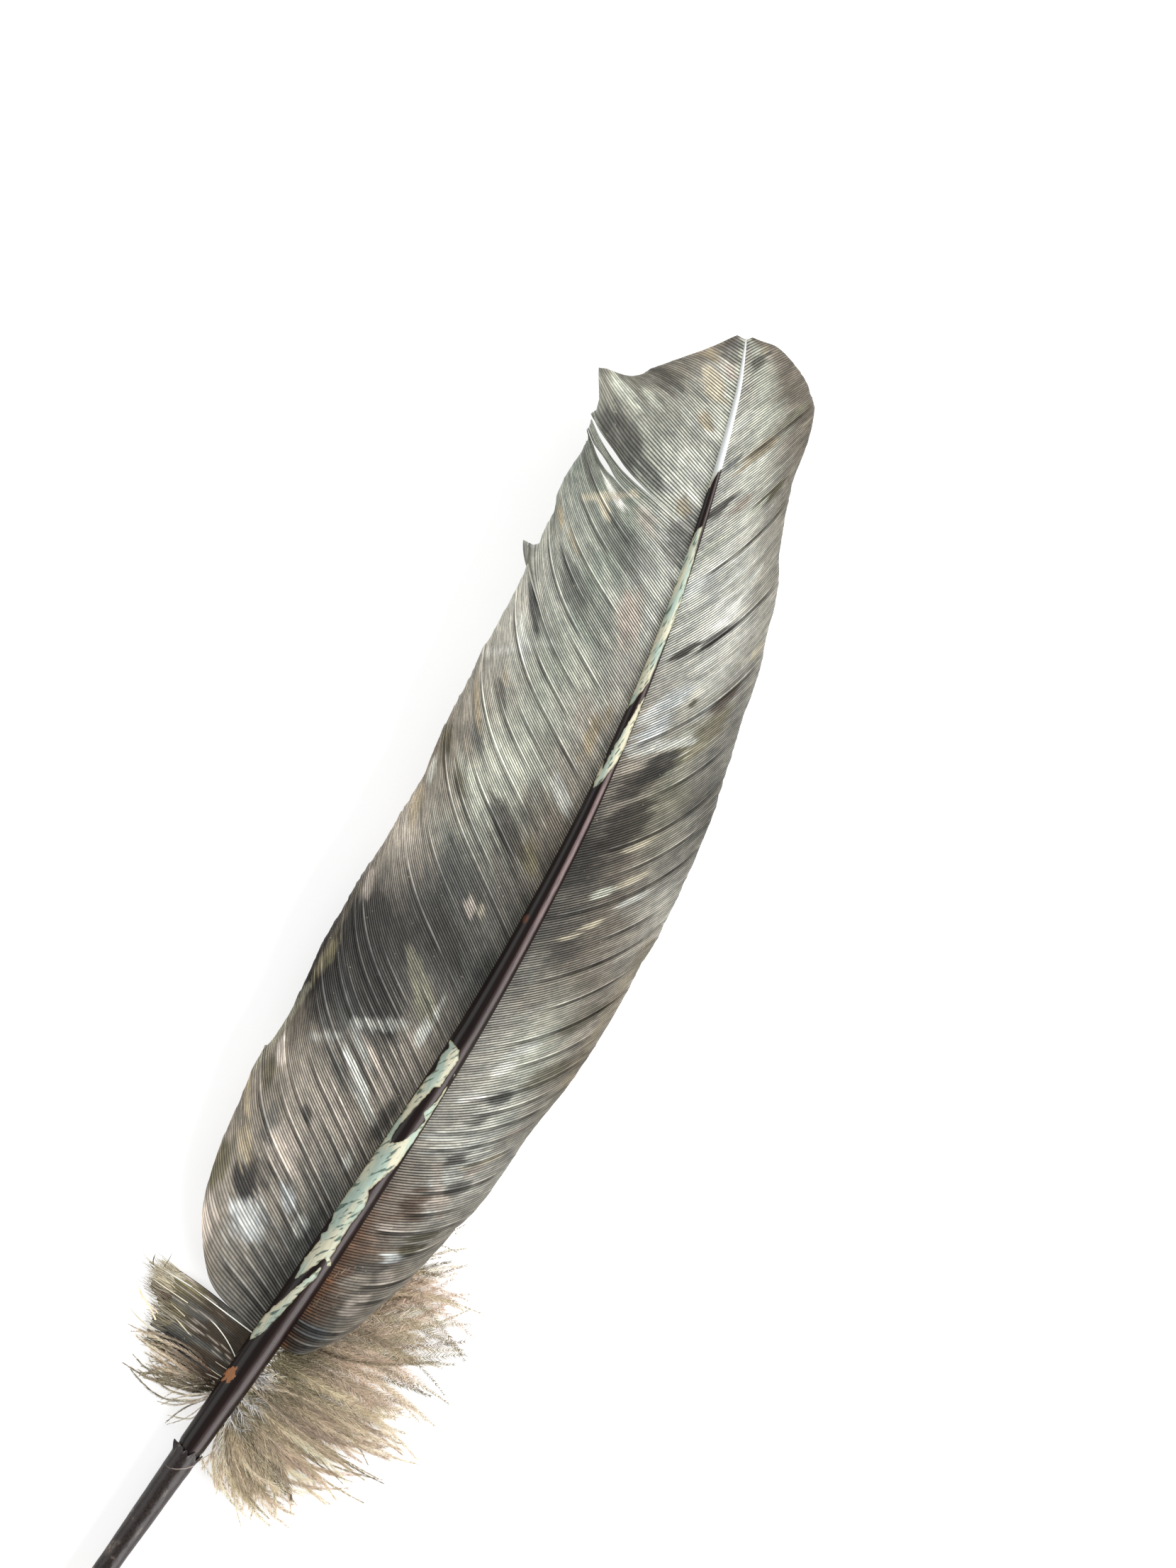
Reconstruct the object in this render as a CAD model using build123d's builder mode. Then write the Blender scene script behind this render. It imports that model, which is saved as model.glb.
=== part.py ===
"""A quill pen: one long wing feather, its hollow quill pushed into a lacquered barrel,
and a steel nib that slides out of a ferrule at the writing end.

The pen lies flat, with the shaft's proud side up. +X runs along the barrel from the nib
towards the feather's tip, +Y is to the left of that, and +Z is up from the table.
Places along the pen are told as distances from a mark on the barrel, 26 mm before its
torn rim; at() moves them to the frame's origin, under the middle of the pen.
"""
from build123d import *
from math import atan, cos, radians, sin
import os

# ---------- driving dimensions, millimetres ----------
MIDDLE_X = 102.835         # the middle of the pen's length, from the mark on the barrel
MIDDLE_Y = 9.396           # the middle of the pen's width, from the barrel's axis
AXIS_Z = 2.9               # height of the barrel's axis over the table

BARREL_START = -18.0       # the barrel's lower end, where the ferrule goes in
BARREL_RIM = 26.4          # the torn upper rim
GRIP_END = 3.0             # the straight grip stops here and the barrel starts to widen
GRIP_R = 2.1
RIM_R = 2.5
BARREL_BORE_R = 1.6

CALAMUS_START = -6.0       # the cut end of the quill, inside the barrel
CALAMUS_R = 1.45
CALAMUS_BORE_R = 1.15
SHOULDER_START = 23.0      # the quill swells here, under the torn rim
SHAFT_START = 27.4         # full width from here on
SHAFT_TIP = 249.8
HOLLOW_END = 42.0          # the hollow of the quill ends, and the pith begins
PITH_START = 43.0
PITH_END = 225.0
UMBILICUS_X = 42.0

FERRULE_MOUTH = -29.0
FERRULE_R = 1.9
FERRULE_BORE_R = 1.6
SPIGOT_END = -10.0
NIB_POINT = -46.0
NIB_SHANK_R = 1.4
NIB_SHEET = 0.3
NIB_FLARE_R = 2.0
CLAMP_CLEARANCE = 0.05

LOCK_THICK = 0.4           # a lock of joined barbs
LOCK_GAP = 0.25            # the split between two locks
ROOT_DEPTH = 0.12          # how far the barbs' roots go into the shaft
DOWN_THICK = 1.1           # a pad of loose down

# ---------- the feather's line and its sections ----------
# (distance along the pen, value) pairs, joined by smooth curves
LINE_Y = [(0, 0), (40, 0), (60, 0.1), (80, 0.5), (100, 1.15), (120, 2.2), (140, 4.15),
          (160, 6.85), (180, 10.6), (200, 15.4), (220, 21.3), (240, 28.4), (250, 33.3)]
LINE_Z = [(0, 2.9), (30, 2.9), (50, 2.85), (80, 2.75), (115, 2.3), (135, 2.4), (150, 2.9),
          (170, 3.7), (190, 4.8), (210, 6.0), (230, 7.4), (250, 9.0)]
SHAFT_WIDTH = [(24, 5.0), (32, 5.1), (42, 5.6), (55, 5.8), (75, 5.65), (90, 5.25),
               (110, 4.7), (130, 4.1), (150, 3.45), (170, 2.8), (200, 2.15), (220, 1.65),
               (240, 1.1), (250, 0.5)]
SHAFT_FLATNESS = 0.94      # height over width
PITH_SHARE = 0.68          # the pith's width over the shaft's

# ---------- the barbs ----------
# by the barb's root: its angle from +X, how far it bends towards the tip, and its length
LEFT_ANGLE = [(51, 80), (55, 73), (62, 65), (75, 61), (110, 60), (130, 59), (150, 61),
              (170, 64), (190, 67), (205, 72), (215, 83), (222, 77), (230, 77), (238, 84),
              (246, 92), (250, 96)]
LEFT_BEND = [(51, 45), (60, 40), (75, 38), (150, 38), (180, 36), (195, 26), (215, 27),
             (222, 12), (226, -5), (230, -24), (236, -32), (246, -14), (250, -5)]
LEFT_LENGTH = [(50.9, 16), (52, 19), (54, 23.5), (57, 27), (62, 31.5), (70, 35), (80, 36),
               (95, 39.5), (106, 40.5), (120, 41), (133, 43), (150, 42.5), (165, 41),
               (180, 38.5), (195, 35), (210, 30), (215.4, 27.5), (218, 28.5), (221, 31),
               (222.4, 30), (226, 25), (232, 19.5), (236, 16.5), (244, 8), (249.5, 1.5)]
RIGHT_ANGLE = [(52, 95), (56, 90), (62, 80), (70, 71), (78, 68), (94, 61), (110, 51),
               (120, 48), (140, 46), (155, 44), (170, 39), (180, 34), (190, 31), (200, 27),
               (215, 23), (225, 20), (235, 17), (245, 20), (250, 26)]
RIGHT_BEND = [(52, 70), (60, 60), (78, 47), (94, 46), (110, 36), (130, 32), (150, 36),
              (170, 34), (190, 30), (205, 24), (220, 14), (235, -8), (250, -14)]
RIGHT_LENGTH = [(55, 11), (60, 13.5), (65, 17), (72, 20), (80, 22), (90, 24.7), (100, 28.5),
                (112, 31), (130, 31.5), (150, 31.5), (165, 30.3), (182, 30.5), (195, 27.5),
                (210, 24.5), (219, 24.8), (226, 22), (235, 16), (245, 7.5), (249.5, 1.5)]
LEFT_RISE = [(50, 2.5), (80, 5), (130, 6.5), (200, 6), (235, 3), (250, 0.5)]
RIGHT_RISE = [(50, 4.5), (75, 4), (120, 3), (200, 3), (240, 1.5), (250, 0.5)]

# where one lock of barbs ends and the next begins
LEFT_SPLITS = [50.9, 71.5, 92.5, 106.4, 135.5, 165.5, 191.0, 215.2, 249.4]
RIGHT_SPLITS = [57.0, 77.0, 94.0, 115.0, 142.0, 176.0, 206.0, 249.4]

LEFT = 1
RIGHT = -1


def at(x, y, z):
    """A place on the pen, moved into the part's frame."""
    return (x - MIDDLE_X, y - MIDDLE_Y, z)


def smooth(pairs, x):
    """The value at x of the smooth curve through the pairs, held level past its ends."""
    x = min(max(x, pairs[0][0]), pairs[-1][0])
    i = max(j for j in range(len(pairs) - 1) if pairs[j][0] <= x)

    def slope(j):
        before, after = pairs[max(j - 1, 0)], pairs[min(j + 1, len(pairs) - 1)]
        return (after[1] - before[1]) / (after[0] - before[0])

    (x0, y0), (x1, y1) = pairs[i], pairs[i + 1]
    span = x1 - x0
    t = (x - x0) / span
    ends = (2 * t**3 - 3 * t**2 + 1) * y0 + (3 * t**2 - 2 * t**3) * y1
    slopes = (t**3 - 2 * t**2 + t) * slope(i) + (t**3 - t**2) * slope(i + 1)
    return ends + slopes * span


def shaft_slope(x):
    """How steeply the shaft turns to the left, as an angle in radians."""
    return atan(smooth(LINE_Y, x + 0.5) - smooth(LINE_Y, x - 0.5))


def shaft_side(x, side):
    """The y of the shaft's left or right edge."""
    return smooth(LINE_Y, x) + side * smooth(SHAFT_WIDTH, x) / 2 / cos(shaft_slope(x))


def section(x, share=1.0):
    """One oval section of the shaft, in the plane across the pen at x."""
    width = smooth(SHAFT_WIDTH, x) * share
    centre = at(x, smooth(LINE_Y, x), smooth(LINE_Z, x))
    with BuildSketch(Plane(origin=centre, x_dir=(0, 1, 0), z_dir=(1, 0, 0))) as oval:
        Ellipse(width / 2 / cos(shaft_slope(x)), width / 2 * SHAFT_FLATNESS)
    return oval.sketch


def stations(first, last, count):
    return [first + (last - first) * i / (count - 1) for i in range(count)]


def axis_plane():
    """The upright plane through the barrel's axis: local x along the pen, local y up."""
    return Plane(origin=at(0, 0, AXIS_Z), x_dir=(1, 0, 0), z_dir=(0, -1, 0))


def turned(points):
    """Revolve a closed outline of (along, radius) points about the barrel's axis."""
    with BuildSketch(axis_plane()) as outline:
        with BuildLine():
            Polyline(*points, close=True)
        make_face()
    revolve(outline.sketch, axis=Axis(at(0, 0, AXIS_Z), (1, 0, 0)))


def barb(root, side, share, steps=10):
    """The place a share of the way along the barb that grows from the shaft at root."""
    angle0 = smooth(LEFT_ANGLE if side == LEFT else RIGHT_ANGLE, root)
    bend = smooth(LEFT_BEND if side == LEFT else RIGHT_BEND, root)
    length = smooth(LEFT_LENGTH if side == LEFT else RIGHT_LENGTH, root)
    x, y = root, shaft_side(root, side) - side * ROOT_DEPTH
    for i in range(steps):
        t = (i + 0.5) / steps * share
        turn = max(0, (t - 0.4) / 0.6) ** 1.5 if side == LEFT else t**1.25
        angle = radians(angle0 - bend * turn)
        x += length * share / steps * cos(angle)
        y += side * length * share / steps * sin(angle)
    rise = smooth(LEFT_RISE if side == LEFT else RIGHT_RISE, root) * share**1.6
    low = smooth(LINE_Z, root) - 0.22 * smooth(SHAFT_WIDTH, root)
    return x, y, low + rise


def lock_surface(first, last, side):
    """The curved sheet that the barbs rooted from first to last make together."""
    rows = []
    for share in stations(0.0, 1.0, 9):
        row = [at(*barb(root, side, share)) for root in stations(first, last, 7)]
        rows.append([Vector(*place) for place in row])
    return Face.make_surface_from_array_of_points(rows, tol=0.02)


def write(piece, name):
    piece.part.label = name
    export_step(piece.part, f"parts/{name}.step")
    return piece.part


os.makedirs("parts", exist_ok=True)
pieces = []

# ---------- the shaft: a hollow quill that becomes a pith-filled rachis ----------
with BuildPart() as shaft_pith:
    loft([section(x, PITH_SHARE) for x in stations(PITH_START, PITH_END, 12)])
pieces.append(write(shaft_pith, "shaft_pith"))

with BuildPart() as quill_shaft:
    turned([(CALAMUS_START, 0), (CALAMUS_START, CALAMUS_R), (SHOULDER_START, CALAMUS_R),
            (SHAFT_START, RIM_R - 0.05), (SHAFT_START + 0.5, RIM_R - 0.05), (SHAFT_START + 0.5, 0)])
    loft([section(x) for x in stations(SHAFT_START, SHAFT_TIP, 15)])
    with BuildPart(mode=Mode.PRIVATE) as hollow:
        turned([(CALAMUS_START, 0), (CALAMUS_START, CALAMUS_BORE_R),
                (SHOULDER_START, CALAMUS_BORE_R), (SHAFT_START, 1.8), (HOLLOW_END - 4, 1.8),
                (HOLLOW_END, 0)])
    add(hollow.part, mode=Mode.SUBTRACT)
    add(shaft_pith.part, mode=Mode.SUBTRACT)
    # the small scar where the growing feather was fed
    scar_top = smooth(LINE_Z, UMBILICUS_X) + smooth(SHAFT_WIDTH, UMBILICUS_X) / 2 * SHAFT_FLATNESS
    with Locations(at(UMBILICUS_X, 0.9, scar_top + 0.9)):
        Sphere(radius=1.3, mode=Mode.SUBTRACT)
pieces.append(write(quill_shaft, "quill_shaft"))

# dried caps of pulp on a thread, loose in the hollow
with BuildPart() as pulp_caps:
    turned([(CALAMUS_START + 1, 0), (CALAMUS_START + 1, 0.15), (HOLLOW_END - 8, 0.15),
            (HOLLOW_END - 8, 0)])
    for cap in stations(0, 24, 5):
        turned([(cap, 0), (cap - 0.8, 0.95), (cap - 0.5, 1.05), (cap + 0.6, 0.1), (cap + 0.6, 0)])
pieces.append(write(pulp_caps, "pulp_caps"))

# ---------- the barrel ----------
with BuildPart() as barrel:
    turned([(BARREL_START, BARREL_BORE_R), (BARREL_START, GRIP_R), (GRIP_END, GRIP_R),
            (SHOULDER_START, RIM_R), (BARREL_RIM, RIM_R), (BARREL_RIM, RIM_R - 0.15),
            (SHOULDER_START, BARREL_BORE_R + 0.05), (SHOULDER_START - 0.5, BARREL_BORE_R)])
    # bites out of the torn rim: (turn about the axis, width, depth)
    for turn, width, depth in [(20, 1.1, 1.0), (75, 0.9, 0.6), (130, 1.4, 1.3), (205, 1.0, 0.7), (290, 1.5, 1.1)]:
        tear = Plane(origin=at(BARREL_RIM, 0, AXIS_Z), x_dir=(0, 1, 0), z_dir=(1, 0, 0)).rotated((0, 0, turn))
        with BuildSketch(tear.offset(-depth)) as bite:
            with Locations((RIM_R, 0)):
                Rectangle(1.4, width)
        extrude(amount=depth + 1, mode=Mode.SUBTRACT)
pieces.append(write(barrel, "barrel"))

with BuildPart() as barrel_glue:
    turned([(CALAMUS_START + 2, CALAMUS_R), (CALAMUS_START + 2, BARREL_BORE_R),
            (20, BARREL_BORE_R), (20, CALAMUS_R)])
pieces.append(write(barrel_glue, "barrel_glue"))

# ---------- the writing end ----------
with BuildPart() as ferrule:
    turned([(FERRULE_MOUTH, FERRULE_BORE_R), (FERRULE_MOUTH, FERRULE_R - 0.15),
            (FERRULE_MOUTH + 0.4, FERRULE_R), (FERRULE_MOUTH + 1.2, FERRULE_R),
            (FERRULE_MOUTH + 1.6, FERRULE_R - 0.1), (BARREL_START - 2.4, FERRULE_R - 0.1),
            (BARREL_START - 2.0, FERRULE_R), (BARREL_START, FERRULE_R),
            (BARREL_START, BARREL_BORE_R), (SPIGOT_END - 0.5, BARREL_BORE_R),
            (SPIGOT_END, BARREL_BORE_R - 0.4), (SPIGOT_END, 0), (BARREL_START - 0.3, 0),
            (BARREL_START - 0.3, FERRULE_BORE_R)])
pieces.append(write(ferrule, "ferrule"))

# a split spring ring seated in the ferrule, which grips the nib's shank
CLAMP_R = NIB_SHANK_R + CLAMP_CLEARANCE
with BuildPart() as nib_clamp:
    turned([(FERRULE_MOUTH + 0.8, CLAMP_R), (FERRULE_MOUTH + 0.8, FERRULE_BORE_R),
            (FERRULE_MOUTH + 3.6, FERRULE_BORE_R), (FERRULE_MOUTH + 3.6, CLAMP_R)])
    with BuildSketch(Plane.XY) as ring_split:
        with Locations(at(FERRULE_MOUTH + 2.2, 0, 0)[:2]):
            Rectangle(4, 0.5)
    extrude(amount=AXIS_Z, mode=Mode.SUBTRACT)
pieces.append(write(nib_clamp, "nib_clamp"))

# a small steel nib: a tubular shank, then a flared half tube cut to a split point
SHANK_TOP = BARREL_START - 0.9
FLARE_X = FERRULE_MOUTH - 5.0
BREATHER_X = FERRULE_MOUTH - 8.0
with BuildPart() as nib:
    turned([(SHANK_TOP, NIB_SHANK_R - NIB_SHEET), (SHANK_TOP, NIB_SHANK_R),
            (FERRULE_MOUTH - 2, NIB_SHANK_R), (FLARE_X, NIB_FLARE_R), (NIB_POINT, 0.3),
            (NIB_POINT, 0.02), (FLARE_X, NIB_FLARE_R - NIB_SHEET),
            (FERRULE_MOUTH - 2, NIB_SHANK_R - NIB_SHEET)])
    with BuildSketch(Plane.XY) as underside:
        with Locations(at((NIB_POINT + FERRULE_MOUTH - 3) / 2 - 0.5, 0, 0)[:2]):
            Rectangle(FERRULE_MOUTH - 2 - NIB_POINT, 3 * NIB_FLARE_R)
    extrude(amount=AXIS_Z, mode=Mode.SUBTRACT)
    with BuildSketch(Plane.XY.offset(AXIS_Z)) as vent:
        with Locations(at(BREATHER_X, 0, 0)[:2]):
            Circle(0.45)
        with Locations(at((BREATHER_X + NIB_POINT) / 2 - 0.5, 0, 0)[:2]):
            Rectangle(BREATHER_X - NIB_POINT + 1, 0.12)
    extrude(amount=NIB_FLARE_R + 1, mode=Mode.SUBTRACT)
pieces.append(write(nib, "nib"))

# ---------- the vanes, one solid for each lock of joined barbs ----------
for side, word, splits in [(LEFT, "left", LEFT_SPLITS), (RIGHT, "right", RIGHT_SPLITS)]:
    for number, (first, last) in enumerate(zip(splits, splits[1:]), start=1):
        with BuildPart() as lock:
            extrude(to_extrude=lock_surface(first, last - LOCK_GAP, side), amount=LOCK_THICK, dir=(0, 0, 1))
        pieces.append(write(lock, f"{word}_lock_{number}"))


# ---------- the tufts at the foot of the vanes ----------
def tuft(roots, tips, root_z, tip_z, thick):
    """A fan-shaped pad: roots and tips are matching lists of (x, y) places."""
    rows = []
    for share in stations(0.0, 1.0, 6):
        row = []
        for (rx, ry), (tx, ty) in zip(roots, tips):
            z = root_z + (tip_z - root_z) * share**0.7
            row.append(Vector(*at(rx + (tx - rx) * share, ry + (ty - ry) * share, z)))
        rows.append(row)
    with BuildPart() as pad:
        extrude(to_extrude=Face.make_surface_from_array_of_points(rows, tol=0.02), amount=thick, dir=(0, 0, 1))
    return pad


LEFT_ROOT_Y = 2.3
RIGHT_ROOT_Y = -2.4
left_tuft_web = tuft(
    [(38.5, LEFT_ROOT_Y), (41.5, LEFT_ROOT_Y), (44.5, LEFT_ROOT_Y), (47.5, LEFT_ROOT_Y + 0.1), (50.4, LEFT_ROOT_Y + 0.2)],
    [(37.5, 18.5), (41.5, 19.5), (45.0, 21.0), (48.5, 22.5), (51.2, 23.0)], 1.5, 0.25, 0.6)
pieces.append(write(left_tuft_web, "left_tuft_web"))
left_tuft_down = tuft(
    [(34.5, LEFT_ROOT_Y), (35.5, LEFT_ROOT_Y), (36.5, LEFT_ROOT_Y), (37.5, LEFT_ROOT_Y), (38.3, LEFT_ROOT_Y)],
    [(28.5, 6.0), (29.5, 9.0), (31.5, 13.0), (33.0, 16.5), (36.8, 18.2)], 1.5, 0.0, DOWN_THICK)
pieces.append(write(left_tuft_down, "left_tuft_down"))

right_down_rear = tuft(
    [(33.0, RIGHT_ROOT_Y), (34.5, RIGHT_ROOT_Y), (36.0, RIGHT_ROOT_Y), (37.5, RIGHT_ROOT_Y), (39.0, RIGHT_ROOT_Y)],
    [(22.5, -8.5), (22.0, -15.5), (25.0, -20.0), (29.5, -23.5), (34.5, -25.5)], 1.2, 0.0, DOWN_THICK)
pieces.append(write(right_down_rear, "right_down_rear"))
right_down_middle = tuft(
    [(39.3, RIGHT_ROOT_Y), (41.5, RIGHT_ROOT_Y), (43.7, RIGHT_ROOT_Y), (46.0, RIGHT_ROOT_Y), (48.3, RIGHT_ROOT_Y)],
    [(35.0, -25.7), (39.0, -28.5), (43.5, -31.0), (48.0, -34.0), (52.5, -31.0)], 1.2, 0.0, DOWN_THICK)
pieces.append(write(right_down_middle, "right_down_middle"))
right_down_front = tuft(
    [(48.6, RIGHT_ROOT_Y), (50.5, RIGHT_ROOT_Y), (52.5, RIGHT_ROOT_Y), (54.5, RIGHT_ROOT_Y), (56.5, RIGHT_ROOT_Y)],
    [(53.0, -31.0), (60.0, -32.5), (68.5, -30.0), (76.5, -25.5), (82.5, -19.0)], 0.3, 0.0, 0.8)
pieces.append(write(right_down_front, "right_down_front"))

everything = Compound(children=pieces)
box = everything.bounding_box()
print(f"length {box.size.X:.2f}, width {box.size.Y:.2f}, height {box.size.Z:.2f}")
print(f"middle at {box.center().X:.3f}, {box.center().Y:.3f}; lowest point {box.min.Z:.3f}")
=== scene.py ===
# %% [markdown]
# # A quill pen
#
# One long wing feather, worn and marbled, with a lacquered shaft that has flaked to horn, a
# cloud of down at its foot, and a dark barrel with a torn rim. A small steel nib is at the
# other end. The pen lies flat with the shaft's proud side up.
#
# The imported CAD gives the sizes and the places. Everything here is worked out in millimetres
# along the pen, from a mark on the barrel 46 mm above the nib's point, and turned into
# metres at the end.

# %%
import math

import bpy
import numpy as np
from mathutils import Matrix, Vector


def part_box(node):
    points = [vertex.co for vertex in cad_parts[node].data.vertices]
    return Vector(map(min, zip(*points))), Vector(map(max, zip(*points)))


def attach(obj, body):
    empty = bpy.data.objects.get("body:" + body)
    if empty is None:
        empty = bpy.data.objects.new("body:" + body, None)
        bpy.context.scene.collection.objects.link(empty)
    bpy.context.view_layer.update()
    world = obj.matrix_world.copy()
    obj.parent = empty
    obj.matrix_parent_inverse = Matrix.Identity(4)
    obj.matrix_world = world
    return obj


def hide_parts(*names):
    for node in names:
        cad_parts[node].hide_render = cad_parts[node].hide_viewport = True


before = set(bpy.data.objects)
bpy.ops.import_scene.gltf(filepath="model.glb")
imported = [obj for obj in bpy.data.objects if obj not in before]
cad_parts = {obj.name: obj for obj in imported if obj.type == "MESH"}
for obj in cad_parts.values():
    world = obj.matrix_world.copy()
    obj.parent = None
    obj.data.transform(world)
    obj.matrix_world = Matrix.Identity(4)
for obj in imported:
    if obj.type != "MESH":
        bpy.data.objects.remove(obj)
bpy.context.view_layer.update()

nib_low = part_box("nib")[0]
ferrule_low, ferrule_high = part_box("ferrule")
NIB_REACH = 46.0
MARK = np.array([nib_low.x + NIB_REACH / 1000, (ferrule_low.y + ferrule_high.y) / 2, 0.0])
AXIS_Z = (ferrule_low.z + ferrule_high.z) / 2 * 1000
print("mark on the barrel at", MARK.round(5), "axis height", round(AXIS_Z, 2), "mm")

LEFT, RIGHT = 1, -1


def to_row(points):
    """Millimetres from the mark to metres in the pen's frame."""
    return np.asarray(points, float) / 1000 + MARK


# %% [markdown]
# ## Curves and grain
#
# `smooth` draws a soft curve through a few chosen pairs; the whole feather is told this way.
# `grain` is soft random unevenness over a plane: stretched along one direction it gives
# fibres, streaks and mottling that never repeat.

# %%
def smooth(pairs, x):
    """The smooth curve through the pairs, held level past its ends."""
    px, py = np.array(pairs, float).T
    x = np.clip(np.asarray(x, float), px[0], px[-1])
    i = np.clip(np.searchsorted(px, x, side="right") - 1, 0, len(px) - 2)
    ahead = np.minimum(np.arange(len(px)) + 1, len(px) - 1)
    behind = np.maximum(np.arange(len(px)) - 1, 0)
    slope = (py[ahead] - py[behind]) / (px[ahead] - px[behind])
    span = px[i + 1] - px[i]
    t = (x - px[i]) / span
    ends = (2 * t**3 - 3 * t**2 + 1) * py[i] + (3 * t**2 - 2 * t**3) * py[i + 1]
    return ends + ((t**3 - 2 * t**2 + t) * slope[i] + (t**3 - t**2) * slope[i + 1]) * span


def ease(x, low=0.0, high=1.0):
    t = np.clip((np.asarray(x, float) - low) / (high - low), 0, 1)
    return t * t * (3 - 2 * t)


def grain(a, b, seed):
    """Soft unevenness from -1 to 1 over the plane of a and b, one bump per unit."""
    table = np.random.default_rng(seed).uniform(-1, 1, (256, 256))
    a, b = np.broadcast_arrays(np.asarray(a, float), np.asarray(b, float))
    ia, ib = np.floor(a).astype(int), np.floor(b).astype(int)
    ta, tb = ease(a - ia), ease(b - ib)
    corner = lambda da, db: table[(ia + da) % 256, (ib + db) % 256]
    near = corner(0, 0) * (1 - ta) + corner(1, 0) * ta
    far = corner(0, 1) * (1 - ta) + corner(1, 1) * ta
    return near * (1 - tb) + far * tb


print("grain spans", grain(np.linspace(0, 9, 50), 0.5, 1).min().round(2), "to",
      grain(np.linspace(0, 9, 50), 0.5, 1).max().round(2))

# %% [markdown]
# ## The feather's line
#
# The shaft runs straight out of the barrel and then sweeps to the left. These pairs repeat
# the CAD's, so each barb lies where its lock's solid is.

# %%
LINE_Y = [(0, 0), (40, 0), (60, 0.1), (80, 0.5), (100, 1.15), (120, 2.2), (140, 4.15),
          (160, 6.85), (180, 10.6), (200, 15.4), (220, 21.3), (240, 28.4), (250, 33.3)]
LINE_Z = [(0, 2.9), (30, 2.9), (50, 2.85), (80, 2.75), (115, 2.3), (135, 2.4), (150, 2.9),
          (170, 3.7), (190, 4.8), (210, 6.0), (230, 7.4), (250, 9.0)]
SHAFT_WIDTH = [(24, 5.0), (32, 5.1), (42, 5.6), (55, 5.8), (75, 5.65), (90, 5.25),
               (110, 4.7), (130, 4.1), (150, 3.45), (170, 2.8), (200, 2.15), (220, 1.65),
               (240, 1.1), (250, 0.5)]
SHAFT_FLATNESS = 0.94

# by the barb's root: angle from +X, bend towards the tip, length, and rise of its end
ANGLE = {
    LEFT: [(51, 80), (55, 73), (62, 65), (75, 61), (110, 60), (130, 59), (150, 61),
           (170, 64), (190, 67), (205, 72), (215, 83), (222, 77), (230, 77), (238, 84),
           (246, 92), (250, 96)],
    RIGHT: [(52, 95), (56, 90), (62, 80), (70, 71), (78, 68), (94, 61), (110, 51),
            (120, 48), (140, 46), (155, 44), (170, 39), (180, 34), (190, 31), (200, 27),
            (215, 23), (225, 20), (235, 17), (245, 20), (250, 26)]}
BEND = {
    LEFT: [(51, 45), (60, 40), (75, 38), (150, 38), (180, 36), (195, 26), (215, 27),
           (222, 12), (226, -5), (230, -24), (236, -32), (246, -14), (250, -5)],
    RIGHT: [(52, 70), (60, 60), (78, 47), (94, 46), (110, 36), (130, 32), (150, 36),
            (170, 34), (190, 30), (205, 24), (220, 14), (235, -8), (250, -14)]}
LENGTH = {
    LEFT: [(50.9, 16), (52, 19), (54, 23.5), (57, 27), (62, 31.5), (70, 35), (80, 36),
           (95, 39.5), (106, 40.5), (120, 41), (133, 43), (150, 42.5), (165, 41),
           (180, 38.5), (195, 35), (210, 30), (215.4, 27.5), (218, 28.5), (221, 31),
           (222.4, 30), (226, 25), (232, 19.5), (236, 16.5), (244, 8), (249.5, 1.5)],
    RIGHT: [(51.5, 7), (55, 10.5), (60, 13.5), (65, 17), (72, 20), (80, 22), (90, 24.7), (100, 28.5),
            (112, 31), (130, 31.5), (150, 31.5), (165, 30.3), (182, 30.5), (195, 27.5),
            (210, 24.5), (219, 24.8), (226, 22), (235, 16), (245, 7.5), (249.5, 1.5)]}
RISE = {
    LEFT: [(50, 2.5), (80, 5), (130, 6.5), (200, 6), (235, 3), (250, 0.5)],
    RIGHT: [(50, 4.5), (75, 4), (120, 3), (200, 3), (240, 1.5), (250, 0.5)]}


def shaft_slope(x):
    return np.arctan(smooth(LINE_Y, x + 0.5) - smooth(LINE_Y, x - 0.5))


def shaft_side(x, side):
    return smooth(LINE_Y, x) + side * smooth(SHAFT_WIDTH, x) / 2 / np.cos(shaft_slope(x))


print("shaft at 100 mm:", smooth(LINE_Y, 100).round(2), "to the left,", smooth(SHAFT_WIDTH, 100).round(2),
      "mm wide")

# %% [markdown]
# ## Camera, floor and light
#
# The view is from straight above, through a long lens, turned so that the pen runs from the
# lower left corner to the top right. The biggest soft light stands low on the right of the
# barrel, so the lacquer carries one long highlight on that side and stays dark on the other;
# on the shaft a painted highlight band in the lacquer's colour adds to it.

# %%
VIEW_TURN = math.radians(-54.9)
VIEW_CENTRE = (167.1, 10.2, 3.0)
VIEW_TALL = 0.2853
VIEW_FAR = 2.0


def add_camera():
    data = bpy.data.cameras.new("camera")
    data.sensor_width = 36
    data.lens = data.sensor_width * VIEW_FAR / VIEW_TALL
    data.clip_start, data.clip_end = 0.05, 20
    camera = bpy.data.objects.new("camera", data)
    centre = to_row(VIEW_CENTRE)
    camera.location = (centre[0], centre[1], centre[2] + VIEW_FAR)
    camera.rotation_euler = (0, 0, VIEW_TURN)
    bpy.context.scene.collection.objects.link(camera)
    bpy.context.scene.camera = camera


def add_light(name, place, aim, size, power, colour=(1, 1, 1)):
    data = bpy.data.lights.new(name, "AREA")
    data.shape, data.size, data.size_y = "RECTANGLE", size[0], size[1]
    data.energy, data.color = power, colour
    light = bpy.data.objects.new(name, data)
    light.location = place
    towards = np.array(aim, float) - np.array(place, float)
    light.rotation_euler = bpy_direction(towards)
    bpy.context.scene.collection.objects.link(light)


def bpy_direction(towards):
    from mathutils import Vector
    return Vector(towards).to_track_quat("-Z", "Y").to_euler()


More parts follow.
